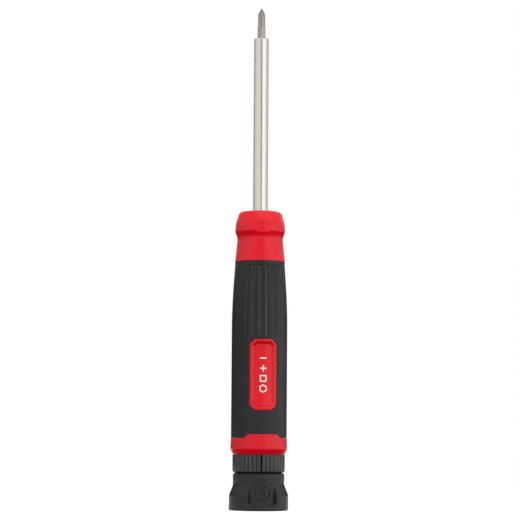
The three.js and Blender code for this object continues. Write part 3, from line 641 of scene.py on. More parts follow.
def make_handle_core():
    edges = tab_edges()
    for k in range(LUGS):
        middle = TURN * k / LUGS
        half = LUG_HALF + LOCK_CLEARANCE
        for edge in (middle - half, middle + half, middle + half + LOCK_TURN):
            edges += [edge - STEP_HALF, edge + STEP_HALF]
    for k in range(NOSE_FLATS):
        for a in NOSE_FLAT_SIDES:
            edges += [TURN * k / NOSE_FLATS + a, TURN * k / NOSE_FLATS - a]
    angles = angles_with(edges)
    hole = SHAFT_RADIUS + BOND_GAP
    nose = spread(rounded([
        (hole, NOSE_TOP, 0),
        (BEVEL_RADIUS, NOSE_TOP, NOSE_EDGE),
        (SHOULDER_RADIUS, SHOULDER_LEVEL, SHOULDER_EDGE),
        (FLANGE_RADIUS, FLANGE_LEVEL, FLANGE_EDGE),
        (WAIST_RADIUS, WAIST_LEVEL, WAIST_EDGE),
        (GRIP_TOP_RADIUS + NOSE_LIP, GRIP_TOP, 0),
    ]), NOSE_STEP)
    tail = rounded([
        (GRIP_RADIUS, TAIL_START, 0),
        (TAIL_RADIUS, HANDLE_BOTTOM + TAIL_CHAMFER, TAIL_EDGE),
        (TAIL_FOOT_RADIUS, HANDLE_BOTTOM + TAIL_FOOT_EDGE, 0),
        (TAIL_FOOT_RADIUS - TAIL_FOOT_EDGE, HANDLE_BOTTOM, 0),
    ])
    boundary = tab_level(angles)
    rings = [ring(angles, hole, SHAFT_BOTTOM), ring(angles, hole, NOSE_TOP - NOSE_HOLE_EDGE)]
    rings += [ring(angles, with_flats(angles, r, z), z) for r, z in nose]
    rings += turned(angles, (
        (TUBE_RADIUS, GRIP_TOP),
        (TUBE_RADIUS, boundary),
        (GRIP_RADIUS - SEAM, boundary),
        (GRIP_RADIUS, boundary - SEAM),
    ))
    rings += turned(angles, tail)
    entry = lock_wall(angles, 0)
    run = lock_wall(angles, LOCK_TURN)
    rings += turned(angles, (
        (entry, HANDLE_BOTTOM),
        (entry, LUG_BOTTOM - RUNNING_GAP),
        (run, LUG_BOTTOM - RUNNING_GAP),
        (run, LUG_TOP + RUNNING_GAP),
        (LOCK_BORE, LUG_TOP + RUNNING_GAP),
        (LOCK_BORE, LUG_TOP + 2 * RUNNING_GAP),
        (BORE_RADIUS, LUG_TOP + 2 * RUNNING_GAP),
        (BORE_RADIUS, BORE_TOP),
    ))
    return loft("core_shell", rings)


# Grip sleeve: flutes front and back, windows for the badges


def flute_places():
    first = -FLUTE_PITCH * (FLUTES - 1) / 2
    return [side + first + FLUTE_PITCH * k for side in (0, math.pi) for k in range(FLUTES)]


def with_flutes(angles, level):
    """The grip's radius with its flutes, each a round groove with a round upper end."""
    radius = grip_surface(level)
    result = np.full(angles.shape, radius)
    foot = ease(FLUTE_BOTTOM, FLUTE_BOTTOM + FLUTE_FOOT_RAMP, level)
    for place in flute_places():
        away = np.mod(angles - place + math.pi, TURN) - math.pi
        across = np.clip(np.abs(away) * radius / FLUTE_HALF, 0, 1)
        end = FLUTE_TOP - FLUTE_HALF * (1 - np.sqrt(1 - across**2))
        along = ease(end, end - FLUTE_TOP_RAMP, level) * foot
        result -= FLUTE_DEPTH * (1 - across**2) * along
    return result


def badge_outline(margin, step=0.8 * MM):
    """The badge's eight-sided outline in X and Z, inset by a margin, with its sides divided."""
    half = BADGE_HALF - margin
    bottom = BADGE_BOTTOM + margin
    top = BADGE_TOP - margin
    corner = BADGE_CORNER - margin * (2 - math.sqrt(2))
    corners = [
        (half - corner, bottom), (half, bottom + corner), (half, top - corner), (half - corner, top),
        (corner - half, top), (-half, top - corner), (-half, bottom + corner), (corner - half, bottom),
    ]
    along = int((BADGE_TOP - BADGE_BOTTOM) / step)
    counts = (4, along, 4, 12, 4, along, 4, 12)
    points = []
    for i, count in enumerate(counts):
        start = np.array(corners[i])
        end = np.array(corners[(i + 1) % 8])
        points += [start + (end - start) * k / count for k in range(count)]
    return np.array(points)


def wrapped(outline, radius):
    """An outline in X and Z laid on the front of a cylinder."""
    x, z = outline[:, 0], outline[:, 1]
    return np.column_stack((x, -np.sqrt(radius**2 - x**2), z))


def flat_prism(name, outline, near, far):
    """An outline in X and Z as a prism between two depths in front of the axis."""
    x, z = outline[:, 0], outline[:, 1]
    rings = [np.column_stack((x, np.full(len(x), -depth), z)) for depth in (near, far)]
    return loft(name, rings)


def make_grip():
    offsets = np.linspace(-1, 1, 13) * FLUTE_HALF / GRIP_TOP_RADIUS
    edges = [place + offset for place in flute_places() for offset in offsets]
    edges += tab_edges()
    angles = angles_with(edges, step=math.radians(2))
    inner = TUBE_RADIUS + BOND_GAP
    bottom = tab_level(angles) + SEAM
    top = GRIP_TOP - SEAM
    levels = np.concatenate((
        np.linspace(GRIP_BOTTOM + TAB_HEIGHT + 0.6 * MM, FLUTE_BOTTOM - 0.2 * MM, 18),
        np.linspace(FLUTE_BOTTOM, FLUTE_BOTTOM + 0.35 * MM, 5),
        np.linspace(FLUTE_BOTTOM + 1.2 * MM, FLUTE_TOP - 2 * MM, 22),
        np.linspace(FLUTE_TOP - 1.5 * MM, FLUTE_TOP, 13),
        np.linspace(FLUTE_TOP + 0.3 * MM, top - GRIP_EDGE, 3),
    ))
    rings = [
        ring(angles, inner, bottom),
        ring(angles, GRIP_RADIUS - GRIP_EDGE, bottom),
        ring(angles, GRIP_RADIUS, bottom + GRIP_EDGE),
    ]
    rings += [ring(angles, with_flutes(angles, z), z) for z in levels]
    rings += [ring(angles, GRIP_TOP_RADIUS - GRIP_EDGE, top), ring(angles, inner, top)]
    grip = loft("grip_skin", rings, loop=True)
    window = badge_outline(-BOND_GAP)
    front = flat_prism("window_front", window, WINDOW_START, 2 * GRIP_RADIUS)
    back = flat_prism("window_back", window, WINDOW_START, 2 * GRIP_RADIUS)
    half_turn(back)
    cut_away(grip, [front, back])
    return grip


def polish_flutes(grip):
    """Gives the flutes a smoother finish than the rest of the grip."""
    grip.data.materials.append(FLUTE_GLOSS)
    for face in grip.data.polygons:
        radius = math.hypot(face.center.x, face.center.y)
        if TUBE_RADIUS + 2 * BOND_GAP < radius < grip_surface(face.center.z) - FLUTE_POLISH:
            face.material_index = 1


def panel_radius(level):
    """The panel's radius: sunk below the lip, and running out nearly flush with it at the lower end."""
    start = BADGE_BOTTOM + PANEL_RUNOUT
    end = BADGE_BOTTOM + BADGE_INNER
    share = np.clip((start - level) / (start - end), 0, 1)
    return PANEL_RADIUS + (BADGE_RADIUS - PANEL_FOOT_SINK - PANEL_RADIUS) * share


def make_badge_frame(name):
    """The frame round a badge: a lip, then a bevel down to the panel."""
    edge = BADGE_EDGE
    steps = [
        (0, BADGE_ROOT),
        (0, BADGE_RADIUS - edge),
        (0.3 * edge, BADGE_RADIUS - 0.3 * edge),
        (edge, BADGE_RADIUS),
        (BADGE_LIP - edge, BADGE_RADIUS),
        (BADGE_LIP, BADGE_RADIUS - 0.3 * edge),
        (BADGE_LIP + edge, BADGE_RADIUS - edge),
    ]
    rings = [wrapped(badge_outline(margin), radius) for margin, radius in steps]
    foot = badge_outline(BADGE_INNER - edge)
    rings.append(wrapped(foot, np.minimum(panel_radius(foot[:, 1]) + edge, BADGE_RADIUS - edge)))
    seat = badge_outline(BADGE_INNER)
    rings.append(wrapped(seat, panel_radius(seat[:, 1]) - FRAME_SINK))
    rings.append(wrapped(seat, BADGE_ROOT))
    return loft(name, rings, loop=True)


def make_badge_panel(name):
    """The curved panel inside a badge's frame."""
    margin = BADGE_INNER + SEAM
    half = BADGE_HALF - margin
    bottom = BADGE_BOTTOM + margin
    top = BADGE_TOP - margin
    corner = BADGE_CORNER - margin * (2 - math.sqrt(2))
    across = np.linspace(-1, 1, 25)
    rows = np.concatenate((
        [bottom],
        np.linspace(bottom + corner, BADGE_BOTTOM + PANEL_RUNOUT, 4),
        np.linspace(BADGE_BOTTOM + PANEL_RUNOUT + 1 * MM, top - corner, 10),
        [top],
    ))
    rings = []
    for z in rows:
        narrow = half if bottom < z < top else half - corner
        x = across * narrow
        radius = panel_radius(z)
        face = wrapped(np.column_stack((x, np.full(x.shape, z))), radius)
        back = wrapped(np.column_stack((x[::-1], np.full(x.shape, z))), PANEL_RADIUS - PANEL_THICKNESS)
        rings.append(np.concatenate((face, back)))
    return loft(name, rings)


# Lock ring


def make_lock_ring():
    slot = INDEX_HALF / RING_RADIUS
    bends = (-slot - INDEX_RIM, -slot, -slot / 2, 0, slot / 2, slot, slot + INDEX_RIM)
    edges = [INDEX_CLOCK + a for a in bends]
    for k in range(LUGS):
        middle = TURN * k / LUGS
        edges += [middle + sign * LUG_HALF + tiny for sign in (1, -1) for tiny in (-STEP_HALF, STEP_HALF)]
    angles = angles_with(edges, step=TURN / (RIBS * 10))
    away = nearest(angles, RIBS, first=INDEX_CLOCK) / (TURN / RIBS)
    crown = RIB_CROWN * (2 * np.abs(away) - 1) ** 2
    ribs = RING_RADIUS - crown - RIB_DEPTH * ease(GROOVE_EDGE, GROOVE_FLOOR, np.abs(away))
    from_index = np.abs(nearest(angles, 1, first=INDEX_CLOCK))
    notch = RING_RADIUS - INDEX_DEPTH * (1 - from_index / slot)
    ribs = np.where(from_index < slot + STEP_HALF, np.minimum(notch, RING_RADIUS), ribs)
    lugs = np.where(np.abs(nearest(angles, LUGS)) < LUG_HALF, LUG_RADIUS, SLEEVE_OUTER)
    bore = STUB_RADIUS + RUNNING_GAP

    def chamfered(inset):
        return np.minimum(ribs, RING_RADIUS - inset)

    rings = [ring(angles, bore, RING_BOTTOM), ring(angles, chamfered(RING_EDGE), RING_BOTTOM)]
    for t in np.linspace(0.2, 1, 4):
        inset = RING_EDGE * (1 - math.sin(t * math.pi / 2))
        rise = RING_EDGE * (1 - math.cos(t * math.pi / 2))
        rings.append(ring(angles, chamfered(inset), RING_BOTTOM + rise))
    rings += turned(angles, (
        (ribs, RING_TOP - RING_TOP_EDGE),
        (chamfered(RING_TOP_EDGE), RING_TOP),
        (SLEEVE_OUTER, RING_TOP),
        (SLEEVE_OUTER, LUG_BOTTOM),
        (lugs, LUG_BOTTOM),
        (lugs, LUG_TOP - LUG_EDGE),
        (lugs - LUG_EDGE, LUG_TOP),
        (SLEEVE_INNER, LUG_TOP),
        (SLEEVE_INNER, RING_TOP),
        (bore, RING_TOP),
    ))
    return loft("knurled_ring", rings, loop=True)


# End cap


def cap_radius(level):
    """The cap's outside: a straight barrel, a flare, then a skirt that opens a little to its foot."""
    share = np.clip((FLARE_LEVEL - level) / (FLARE_LEVEL - SKIRT_LEVEL), 0, 1)
    flare = (1 - FLARE_BEND) * share + FLARE_BEND * share * share * (3 - 2 * share)
    skirt = SKIRT_RADIUS - SKIRT_DRAFT * np.clip(level / SKIRT_LEVEL, 0, 1)
    return BARREL_RADIUS + (skirt - BARREL_RADIUS) * flare


def with_pockets(angles, level, radius):
    """The cap's radius with its grip pockets, each flush with the barrel and closed by a ledge below."""
    away = np.abs(nearest(angles, POCKETS)) * SKIRT_RADIUS
    corner_x = np.maximum(0, away - (POCKET_HALF - POCKET_CORNER))
    corner_z = np.maximum(0, POCKET_BOTTOM + POCKET_CORNER - level)
    apart = np.hypot(corner_x, corner_z)
    below = (corner_z / np.maximum(apart, 1e-9)) ** 2
    soft = POCKET_WALL + (POCKET_RAMP - POCKET_WALL) * below
    inside = ease(soft, -soft, apart - POCKET_CORNER)
    return radius - inside * np.maximum(0, radius - BARREL_RADIUS)


def make_cap():
    wall = np.linspace(-1.2, 1.2, 9) * POCKET_WALL
    edges = []
    for k in range(POCKETS):
        middle = TURN * k / POCKETS
        edges += [middle + sign * (POCKET_HALF + w) / SKIRT_RADIUS for sign in (1, -1) for w in wall]
    angles = angles_with(edges, step=math.radians(1.5))
    outside = rounded([
        (PLUG_RADIUS + BOND_GAP, 0, 0),
        (cap_radius(0), 0, CAP_FOOT_EDGE),
        (cap_radius(CAP_FOOT_LEVEL), CAP_FOOT_LEVEL, 0),
    ], steps=8)
    pocket_levels = np.linspace(POCKET_BOTTOM - POCKET_RAMP, POCKET_BOTTOM + POCKET_CORNER, 14)
    flare_levels = np.linspace(POCKET_BOTTOM + POCKET_CORNER + 0.5 * MM, FLARE_LEVEL + 1 * MM, 24)
    rings = turned(angles, outside)
    for z in np.concatenate((pocket_levels, flare_levels)):
        rings.append(ring(angles, with_pockets(angles, z, cap_radius(z)), z))
    top = rounded([
        (BARREL_RADIUS, FLARE_LEVEL + 1.5 * MM, 0),
        (BARREL_RADIUS, CAP_TOP, CAP_TOP_EDGE),
        (HUB_BORE, CAP_TOP, 0),
    ])
    rings += turned(angles, top)
    rings += turned(angles, (
        (HUB_BORE, HUB_BOTTOM),
        (CAP_CAVITY, HUB_BOTTOM),
        (CAP_CAVITY, PLUG_TOP),
        (PLUG_RADIUS + BOND_GAP, PLUG_TOP),
    ))
    return loft("cap_skin", rings, loop=True)


def make_plug():
    angles = angles_with(step=math.radians(3))
    profile = rounded([
        (0.5 * MM, PLUG_BOTTOM + DISH_DEPTH, 0),
        (DISH_FLOOR_RADIUS, PLUG_BOTTOM + 0.5 * MM, 2 * MM),
        (DISH_RADIUS, PLUG_BOTTOM, 0.8 * MM),
        (PLUG_RADIUS, PLUG_BOTTOM, 0.3 * MM),
        (PLUG_RADIUS, PLUG_TOP, 0),
        (1 * MM, PLUG_TOP, 0),
    ])
    return loft("cap_end_disc", turned(angles, profile))


# Shaft and bits


def hexagon(angles, across_flats, clock=0.0):
    """Radius of a hexagon with a corner at the front, turned by the clock."""
    away = nearest(angles, 6, first=clock + math.pi / 6)
    return across_flats / 2 / np.cos(away)


def make_shaft():
    angles = angles_with([SOCKET_CLOCK + TURN * k / 6 for k in range(6)], step=math.radians(3))
    socket = hexagon(angles, SOCKET_ACROSS_FLATS, SOCKET_CLOCK)
    outside = rounded([
        (SHAFT_RADIUS, SHAFT_BOTTOM + BOND_GAP, 0),
        (SHAFT_RADIUS, SHAFT_TOP, SHAFT_EDGE),
        (SHAFT_RADIUS - SHAFT_END_WIDTH, SHAFT_TOP, 0),
    ], steps=8)
    rings = turned(angles, outside)
    rings += turned(angles, (
        (socket + SOCKET_LEAD, SHAFT_TOP),
        (socket, SHAFT_TOP - SOCKET_LEAD),
        (socket, SOCKET_BOTTOM),
    ))
    return loft("shaft_rod", rings)


def phillips(angles, level, radius):
    """A cross-point tip's radius at a level below its end: a cone cut by four V grooves."""
    cone = np.minimum(radius, POINT_RADIUS + level * POINT_SLOPE)
    start = 0.8 * POINT_RADIUS
    apex = start + level * (radius - start) / POINT_RUN
    away = np.abs(nearest(angles, 4, first=POINT_CLOCK))
    least = 0.02
    wall = apex * math.sin(POINT_WALL) / np.sin(np.maximum(POINT_WALL - away, least))
    groove = np.where(away < POINT_WALL - least, wall, 1)
    return np.minimum(cone, groove)


def slotted(angles, level, radius):
    """A blade's radius: a round shank between two flats that close in on the edge."""
    share = np.clip(level / BLADE_RUN, 0, 1)
    half = BLADE_HALF + (radius - BLADE_HALF) * share**BLADE_BEND
    return np.minimum(radius, half / np.maximum(np.abs(np.sin(angles)), 1e-3))


def keyed(corners, depth):
    """A key of constant outline: hex, square or star, on a round shank."""
    def outline(angles, level, radius):
        away = nearest(angles, corners)
        if depth:
            shape = radius * (1 - depth * (1 - np.cos(corners * away)) / 2)
        else:
            shape = radius * math.cos(math.pi / corners) / np.cos(math.pi / corners - np.abs(away))
        shape = np.minimum(shape, radius * KEY_LEAD + level * KEY_LEAD_SLOPE)
        return np.where(level > KEY_LENGTH, BIT_TIP_RADIUS, shape)
    return outline


TIPS = {
    "phillips": phillips,
    "slotted": slotted,
    "hex": keyed(6, 0),
    "square": keyed(4, 0),
    "star": keyed(6, STAR_DEPTH),
}


def make_bit(name, bottom, ends, step, clock):
    """A double-ended bit, with a step in degrees between its points: two tips and a hex body."""
    angles = angles_with(step=math.radians(step))
    local = angles - clock
    middle = BIT_LENGTH - 2 * BIT_TIP_LENGTH
    tip_levels = np.concatenate((
        np.linspace(0, 3.8 * MM, 24), np.linspace(4.0 * MM, BIT_TIP_LENGTH - 0.5 * MM, 12),
    ))

    def tip_rings(kind, diameter, place):
        radii = [TIPS[kind](local, z, diameter * MM / 2) for z in tip_levels]
        return [ring(angles, r, place(z)) for r, z in zip(radii, tip_levels)]

    def body_radius(level):
        from_end = min(level, middle - level)
        cone = BIT_ROOT_RADIUS + from_end * BIT_ROOT_SLOPE
        return np.minimum(hexagon(local, BIT_ACROSS_FLATS), cone)

    rings = tip_rings(*ends[0], lambda z: bottom + BIT_LENGTH - z)
    ramp = np.linspace(0, BIT_ROOT_RAMP, 7)
    levels = np.concatenate((middle - ramp, ramp[::-1]))
    rings += [ring(angles, body_radius(z), bottom + BIT_TIP_LENGTH + z) for z in levels]
    rings += tip_rings(*ends[1], lambda z: bottom + z)[::-1]
    return loft(name, rings, crease=BIT_CREASE)


def make_spare_bit(number, ends):
    """One of the bits that stand round the magazine, turned to face outwards."""
    node = f"spare_bit_{number:02d}"
    bit = make_bit(f"stored_bit_{number:02d}", low(node), ends, 7.5, TURN * (number - 1) / CHAMBERS)
    corner_low, corner_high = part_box(node)
    middle = (corner_low + corner_high) / 2
    for vertex in bit.data.vertices:
        vertex.co.x += middle.x
        vertex.co.y += middle.y
    return finish_piece(bit, "magazine", "bit_steel", node)


# Signs: a turn arrow round a padlock sunk into the cap, and plain bit symbols printed on the badge


def arc(centre, radius, first, last, count):
    """Points on an arc in a flat drawing, with angles in degrees from the right."""
    turn = np.radians(np.linspace(first, last, count))
    return np.column_stack((centre[0] + radius * np.cos(turn), centre[1] + radius * np.sin(turn)))


def fine_path(path, closed, step=0.9 * MM):
    """The path with its long stretches divided, so that it bends round the axis."""
    points = [np.array(point) for point in path]
    if closed:
        return np.array(spread(points + points[:1], step)[:-1])
    return np.array(spread(points, step))


def stroke(name, path, width, inner, outer, clock, closed=False):
    """A line of even width, drawn flat and wrapped on the axis between two radii at a clock angle."""
    path = fine_path(path, closed)
    if closed:
        before, after = np.roll(path, 1, axis=0), np.roll(path, -1, axis=0)
    else:
        before = np.vstack((2 * path[0] - path[1], path[:-1]))
        after = np.vstack((path[1:], 2 * path[-1] - path[-2]))
    into = (path - before) / np.linalg.norm(path - before, axis=1)[:, None]
    out = (after - path) / np.linalg.norm(after - path, axis=1)[:, None]
    normal = np.column_stack((-(into + out)[:, 1], (into + out)[:, 0]))
    normal /= np.linalg.norm(normal, axis=1)[:, None]
    miter = np.maximum(0.5, (normal * np.column_stack((-into[:, 1], into[:, 0]))).sum(axis=1))
    offset = normal * (width / 2 / miter)[:, None]
    rings = []
    for left, right in zip(path + offset, path - offset):
        corners = [(left, inner), (right, inner), (right, outer), (left, outer)]
        turns = np.array([clock + point[0] / outer for point, _ in corners])
        radii = np.array([radius for _, radius in corners])
        levels = np.array([point[1] for point, _ in corners])
        rings.append(ring(turns, radii, levels))
    return loft(name, rings, loop=closed)


def patch(name, outline, inner, outer, clock):
    """A filled outline, drawn flat and wrapped on the axis between two radii at a clock angle."""
    outline = np.array(outline)
    turns = clock + outline[:, 0] / outer
    return loft(name, [ring(turns, radius, outline[:, 1]) for radius in (inner, outer)])


def sunk_signs():
    """Cutters for the cap: arrow round a padlock in each pocket, and a pointer on the barrel above it."""
    floor = BARREL_RADIUS - SIGN_DEPTH
    deeper = floor - SIGN_EXTRA
    proud = BARREL_RADIUS + SIGN_DEPTH
    centre = (0, SIGN_LEVEL)
    head = arc(centre, SIGN_RADIUS, ARROW_START, ARROW_START, 1)[0]
    body_low = SIGN_LEVEL - LOCK_DROP
    body_high = SIGN_LEVEL + LOCK_RISE
    body = [(-LOCK_HALF, body_low), (LOCK_HALF, body_low), (LOCK_HALF, body_high), (-LOCK_HALF, body_high)]
    shackle = arc((0, SIGN_LEVEL + SHACKLE_RISE), SHACKLE_RADIUS, -40, 200, 14)
    turn_arc = arc(centre, SIGN_RADIUS, ARC_FIRST, ARC_LAST, 50)
    cutters = []
    for k in range(POCKETS):
        clock = TURN * k / POCKETS
        cutters += [
            stroke(f"sign_arc_{k}", turn_arc, SIGN_LINE, floor, proud, clock),
            patch(f"sign_head_{k}", [head + point for point in ARROW_HEAD], deeper, proud, clock),
            patch(f"sign_body_{k}", body, deeper, proud, clock),
            stroke(f"sign_shackle_{k}", shackle, SHACKLE_LINE, floor, proud, clock),
        ]
        for side in (-1, 1):
            slant = [
                (side * POINTER_TOP_HALF, POINTER_LEVEL),
                (side * POINTER_FOOT_HALF, POINTER_LEVEL - POINTER_HEIGHT),
            ]
            cutters.append(stroke(f"sign_pointer_{k}_{side}", slant, SIGN_LINE, floor, proud, clock))
    return cutters


def make_marks():
    """Plain symbols of four kinds of bit, one above the other on the badge's panel."""
    inner = PANEL_RADIUS - MARK_SINK
    outer = PANEL_RADIUS + MARK_PROUD
    middle = (BADGE_BOTTOM + BADGE_TOP) / 2 + MARK_RISE
    levels = [middle + MARK_PITCH * (1.5 - k) for k in range(4)]
    half = MARK_SIZE / 2
    slot_bar = [(-half, levels[0]), (half, levels[0])]
    across = [(-half, levels[1]), (half, levels[1])]
    upright = [(0, levels[1] - half), (0, levels[1] + half)]
    square = arc((0, levels[2]), half * SQUARE_SCALE, 45, 315, 4)
    hexagon_mark = arc((0, levels[3]), half * HEXAGON_SCALE, 30, 330, 6)
    return [
        stroke("mark_slot", slot_bar, MARK_LINE, inner, outer, 0),
        stroke("mark_cross_bar", across, MARK_LINE, inner, outer, 0),
        stroke("mark_cross_post", upright, MARK_LINE, inner, outer + MARK_OVERLAP, 0),
        stroke("mark_square", square, MARK_LINE, inner, outer, 0, closed=True),
        stroke("mark_hexagon", hexagon_mark, MARK_LINE, inner, outer, 0, closed=True),
    ]


# Neck washer and seal


def make_neck_washer():
    inner = WASHER_HOLE
    outer = BARREL_RADIUS - WASHER_STEP
    bottom = low("neck_washer")
    top = high("neck_washer")
    angles = angles_with(step=math.radians(3))
    profile = rounded([
        (inner, bottom, 0), (outer, bottom, WASHER_EDGE), (outer, top, WASHER_EDGE), (inner, top, 0),
    ], steps=3)
    return loft("neck_collar", turned(angles, profile), loop=True)


def make_o_ring():
    wire = O_RING_WIRE
    middle = reach("magazine_o_ring") - wire
    angles = angles_with(step=math.radians(3))
    turns = np.linspace(0, TURN, 17)[:-1]
    section = [(middle + wire * math.cos(t), O_RING_LEVEL + wire * math.sin(t)) for t in turns]
    return loft("seal_ring", turned(angles, section), loop=True)


# Assembly

finish_piece(make_handle_core(), "handle", "red_plastic", "handle_core")
polish_flutes(finish_piece(make_grip(), "handle", "grip_rubber", "grip_sleeve"))
for side in ("front", "back"):
    badge_frame = make_badge_frame(f"badge_frame_{side}")
    badge_panel = make_badge_panel(f"badge_panel_{side}")
    if side == "back":
        half_turn(badge_frame)
        half_turn(badge_panel)
    finish_piece(badge_frame, "handle", "red_plastic")
    finish_piece(badge_panel, "handle", "red_plastic", f"badge_plate_{side}")
finish_piece(make_shaft(), "handle", "polished_steel", "shaft")
finish_piece(
    make_bit("cross_bit", BIT_BOTTOM, DRIVER_TIPS, 2.5, SOCKET_CLOCK),
    "driver_bit", "bit_steel", "driver_bit",
)
finish_piece(make_lock_ring(), "lock_ring", "ring_plastic", "lock_ring")
finish_piece(make_neck_washer(), "magazine", "black_plastic", "neck_washer")
finish_piece(make_o_ring(), "magazine", "seal_rubber", "magazine_o_ring")
cap = make_cap()
cut_away(cap, sunk_signs())
finish_piece(cap, "end_cap", "cap_rubber", "spin_cap")
for mark in make_marks():
    mark.data.materials.append(PRINT)
    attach(mark, "handle")
finish_piece(make_plug(), "end_cap", "black_plastic", "cap_plug")
for number, ends in enumerate(SPARE_BITS, start=1):
    make_spare_bit(number, ends)

SLOT_OF = {part["node"]: part["material_slot"] for part in frame["record"]["subparts"]}
for node_name, node in frame["nodes"].items():
    if node.hide_render:
        continue
    node.data.materials.clear()
    node.data.materials.append(MATERIALS[SLOT_OF[node_name]])


# Camera: a long lens a metre away, low down, looking a little up, with the photo's slight tilt

DISTANCE = 1.0
CAMERA_HEIGHT = 35 * MM
AIM_HEIGHT = 122.1 * MM
AZIMUTH = math.radians(-9)
FRAME_HEIGHT = 255.4 * MM
TILT = math.radians(0.39)
SENSOR = 36


def make_camera():
    data = bpy.data.cameras.new("camera")
    camera = bpy.data.objects.new("camera", data)
    bpy.context.scene.collection.objects.link(camera)
    camera.location = camera_side(0, CAMERA_HEIGHT, DISTANCE)
    sight = Vector((0, 0, AIM_HEIGHT)) - camera.location
    camera.rotation_euler = sight.to_track_quat("-Z", "Y").to_euler()
    camera.rotation_euler.rotate_axis("Z", TILT)
    data.sensor_width = SENSOR
    data.lens = SENSOR * sight.length / FRAME_HEIGHT
    bpy.context.scene.camera = camera


# Stage: white surround and floor, softboxes, and grey cards that shape the reflections in steel and plastic

ROOM_LIGHT = 0.4
FLOOR_WHITE = 0.8
FLOOR_GLOW = 1.2
FLOOR_GREY = 0.48
FLOOR_HALF = 3.0
DULL = 0.9
CARD_DISTANCE = 0.5
CARD_SPLIT = 0.185
CARD_TOP = 0.6
FILL_SIZE = (0.9, 0.9)

# First azimuth, last azimuth and shade of each low card
LEFT_LOW_CARDS = ((62, 100, 0.8), (100, 118, 0.42), (118, 135, 0.2), (135, 175, 0.06))
RIGHT_LOW_CARDS = ((115, 135, 0.5), (135, 150, 0.25), (150, 175, 0.1))


def camera_side(azimuth, height, distance):
    """A place round the object; the azimuth, in degrees, counts from the camera to the picture's right."""
    turn = AZIMUTH + math.radians(azimuth)
    return Vector((distance * math.sin(turn), -distance * math.cos(turn), height))


def softbox(name, azimuth, height, distance, size, power, aim, in_gloss=True):
    """A lamp turned to a level on the axis; a fill lamp doesn't show in the gloss."""
    data = bpy.data.lights.new(name, "AREA")
    data.shape = "RECTANGLE"
    data.size, data.size_y = size
    data.energy = power
    lamp = bpy.data.objects.new(name, data)
    bpy.context.scene.collection.objects.link(lamp)
    lamp.location = camera_side(azimuth, height, distance)
    sight = Vector((0, 0, aim)) - lamp.location
    lamp.rotation_euler = sight.to_track_quat("-Z", "Y").to_euler()
    lamp.visible_glossy = in_gloss


def looked_at(tree):
    """1 where the camera, a gloss or a glass looks, and 0 for the light that a surface throws back."""
    path = tree.nodes.new("ShaderNodeLightPath")
    result = path.outputs["Is Camera Ray"]
    for other in ("Is Glossy Ray", "Is Transmission Ray"):
        either = tree.nodes.new("ShaderNodeMath")
        either.operation = "MAXIMUM"
        tree.links.new(result, either.inputs[0])
        tree.links.new(path.outputs[other], either.inputs[1])
        result = either.outputs[0]
    return result


def make_world():
    """A room that is white wherever it is looked at, and gives a lower, even light."""
    world = bpy.data.worlds.new("studio")
    bpy.context.scene.world = world
    world.use_nodes = True
    tree = world.node_tree
    background = tree.nodes["Background"]
    background.inputs["Color"].default_value = (1, 1, 1, 1)
    level = tree.nodes.new("ShaderNodeMapRange")
    level.inputs["To Min"].default_value = ROOM_LIGHT
    level.inputs["To Max"].default_value = 1
    tree.links.new(looked_at(tree), level.inputs["Value"])
    tree.links.new(level.outputs["Result"], background.inputs["Strength"])


def make_floor():
    """Paper that is nearly all white where it is looked at, and keeps a soft shadow."""
    size = FLOOR_HALF
    corners = [(-size, -size, 0), (size, -size, 0), (size, size, 0), (-size, size, 0)]
    floor = mesh_object("floor", corners, [(0, 1, 2, 3)])
    material, shader = new_material("floor_paper")
    shader.inputs["Base Color"].default_value = (FLOOR_GREY, FLOOR_GREY, FLOOR_GREY, 1)
    shader.inputs["Roughness"].default_value = DULL
    shader.inputs["Specular IOR Level"].default_value = 0
    tree = material.node_tree
    white = tree.nodes.new("ShaderNodeEmission")
    white.inputs["Strength"].default_value = FLOOR_GLOW
    white.inputs["Color"].default_value = (1, 1, 1, 1)
    mix = tree.nodes.new("ShaderNodeMixShader")
    part = tree.nodes.new("ShaderNodeMath")
    part.operation = "MULTIPLY"
    part.inputs[1].default_value = FLOOR_WHITE
    tree.links.new(looked_at(tree), part.inputs[0])
    tree.links.new(part.outputs[0], mix.inputs["Fac"])
    tree.links.new(shader.outputs[0], mix.inputs[1])
    tree.links.new(white.outputs[0], mix.inputs[2])
    tree.links.new(mix.outputs[0], tree.nodes["Material Output"].inputs["Surface"])
    floor.data.materials.append(material)


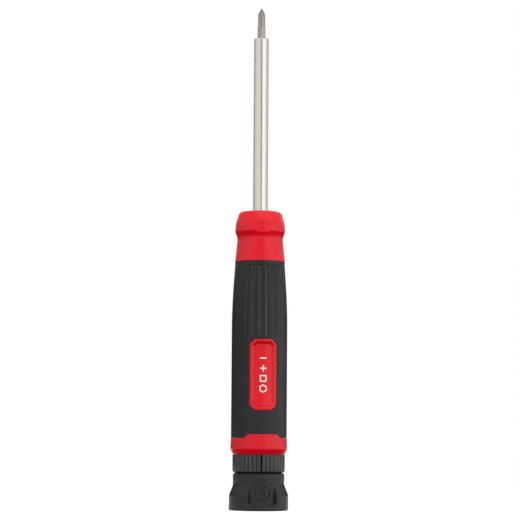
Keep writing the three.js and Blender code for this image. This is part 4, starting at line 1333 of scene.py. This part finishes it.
def make_card(name, first, last, distance, bottom, top, shade, lean=0):
    """A dull curved card that shows only in the object's gloss; a lean moves its upper edge round."""
    steps = 8
    places = np.linspace(first, last, steps + 1)
    corners = [camera_side(a, bottom, distance) for a in places]
    corners += [camera_side(a + lean, top, distance) for a in places]
    faces = [(k, k + 1, steps + 2 + k, steps + 1 + k) for k in range(steps)]
    card = mesh_object(name, corners, faces)
    material, shader = new_material(name)
    shader.inputs["Base Color"].default_value = (shade, shade, shade, 1)
    shader.inputs["Roughness"].default_value = DULL
    card.data.materials.append(material)
    card.visible_camera = False
    card.visible_diffuse = False
    card.visible_shadow = False


make_camera()
make_world()
make_floor()
make_card("dark_flag", 12, 23, 0.9, 0.235, CARD_TOP, 0.05, lean=-39)
for k, (first, last, shade) in enumerate(LEFT_LOW_CARDS):
    make_card(f"left_low_card_{k}", -last, -first, CARD_DISTANCE, 0, CARD_SPLIT, shade)
for k, (first, last, shade) in enumerate(RIGHT_LOW_CARDS):
    make_card(f"right_low_card_{k}", first, last, CARD_DISTANCE, 0, CARD_SPLIT, shade)
make_card("left_high_card", -175, -100, CARD_DISTANCE, CARD_SPLIT, CARD_TOP, 0.7)
make_card("right_high_card", 110, 175, CARD_DISTANCE, CARD_SPLIT, CARD_TOP, 0.8)
softbox("right_low_box", 60, 0.12, 0.9, (1.26, 0.235), 0.56, aim=0.12)
softbox("right_side_box", 105, 0.12, 0.9, (0.48, 0.235), 0.08, aim=0.12)
softbox("right_high_box", 48, 0.49, 0.9, (0.8, 0.515), 0.744, aim=0.49)
softbox("left_box", -35, 0.30, 1.0, FILL_SIZE, 0.25, aim=0.13)
softbox("left_fill", -65, 0.35, 1.0, FILL_SIZE, 2.0, aim=0.14, in_gloss=False)
softbox("right_fill", 70, 0.35, 1.0, FILL_SIZE, 1.2, aim=0.14, in_gloss=False)
softbox("top_box", 18, 0.8, 0.45, (0.8, 0.6), 5.0, aim=0.13, in_gloss=False)
bpy.context.scene.view_settings.view_transform = "Standard"
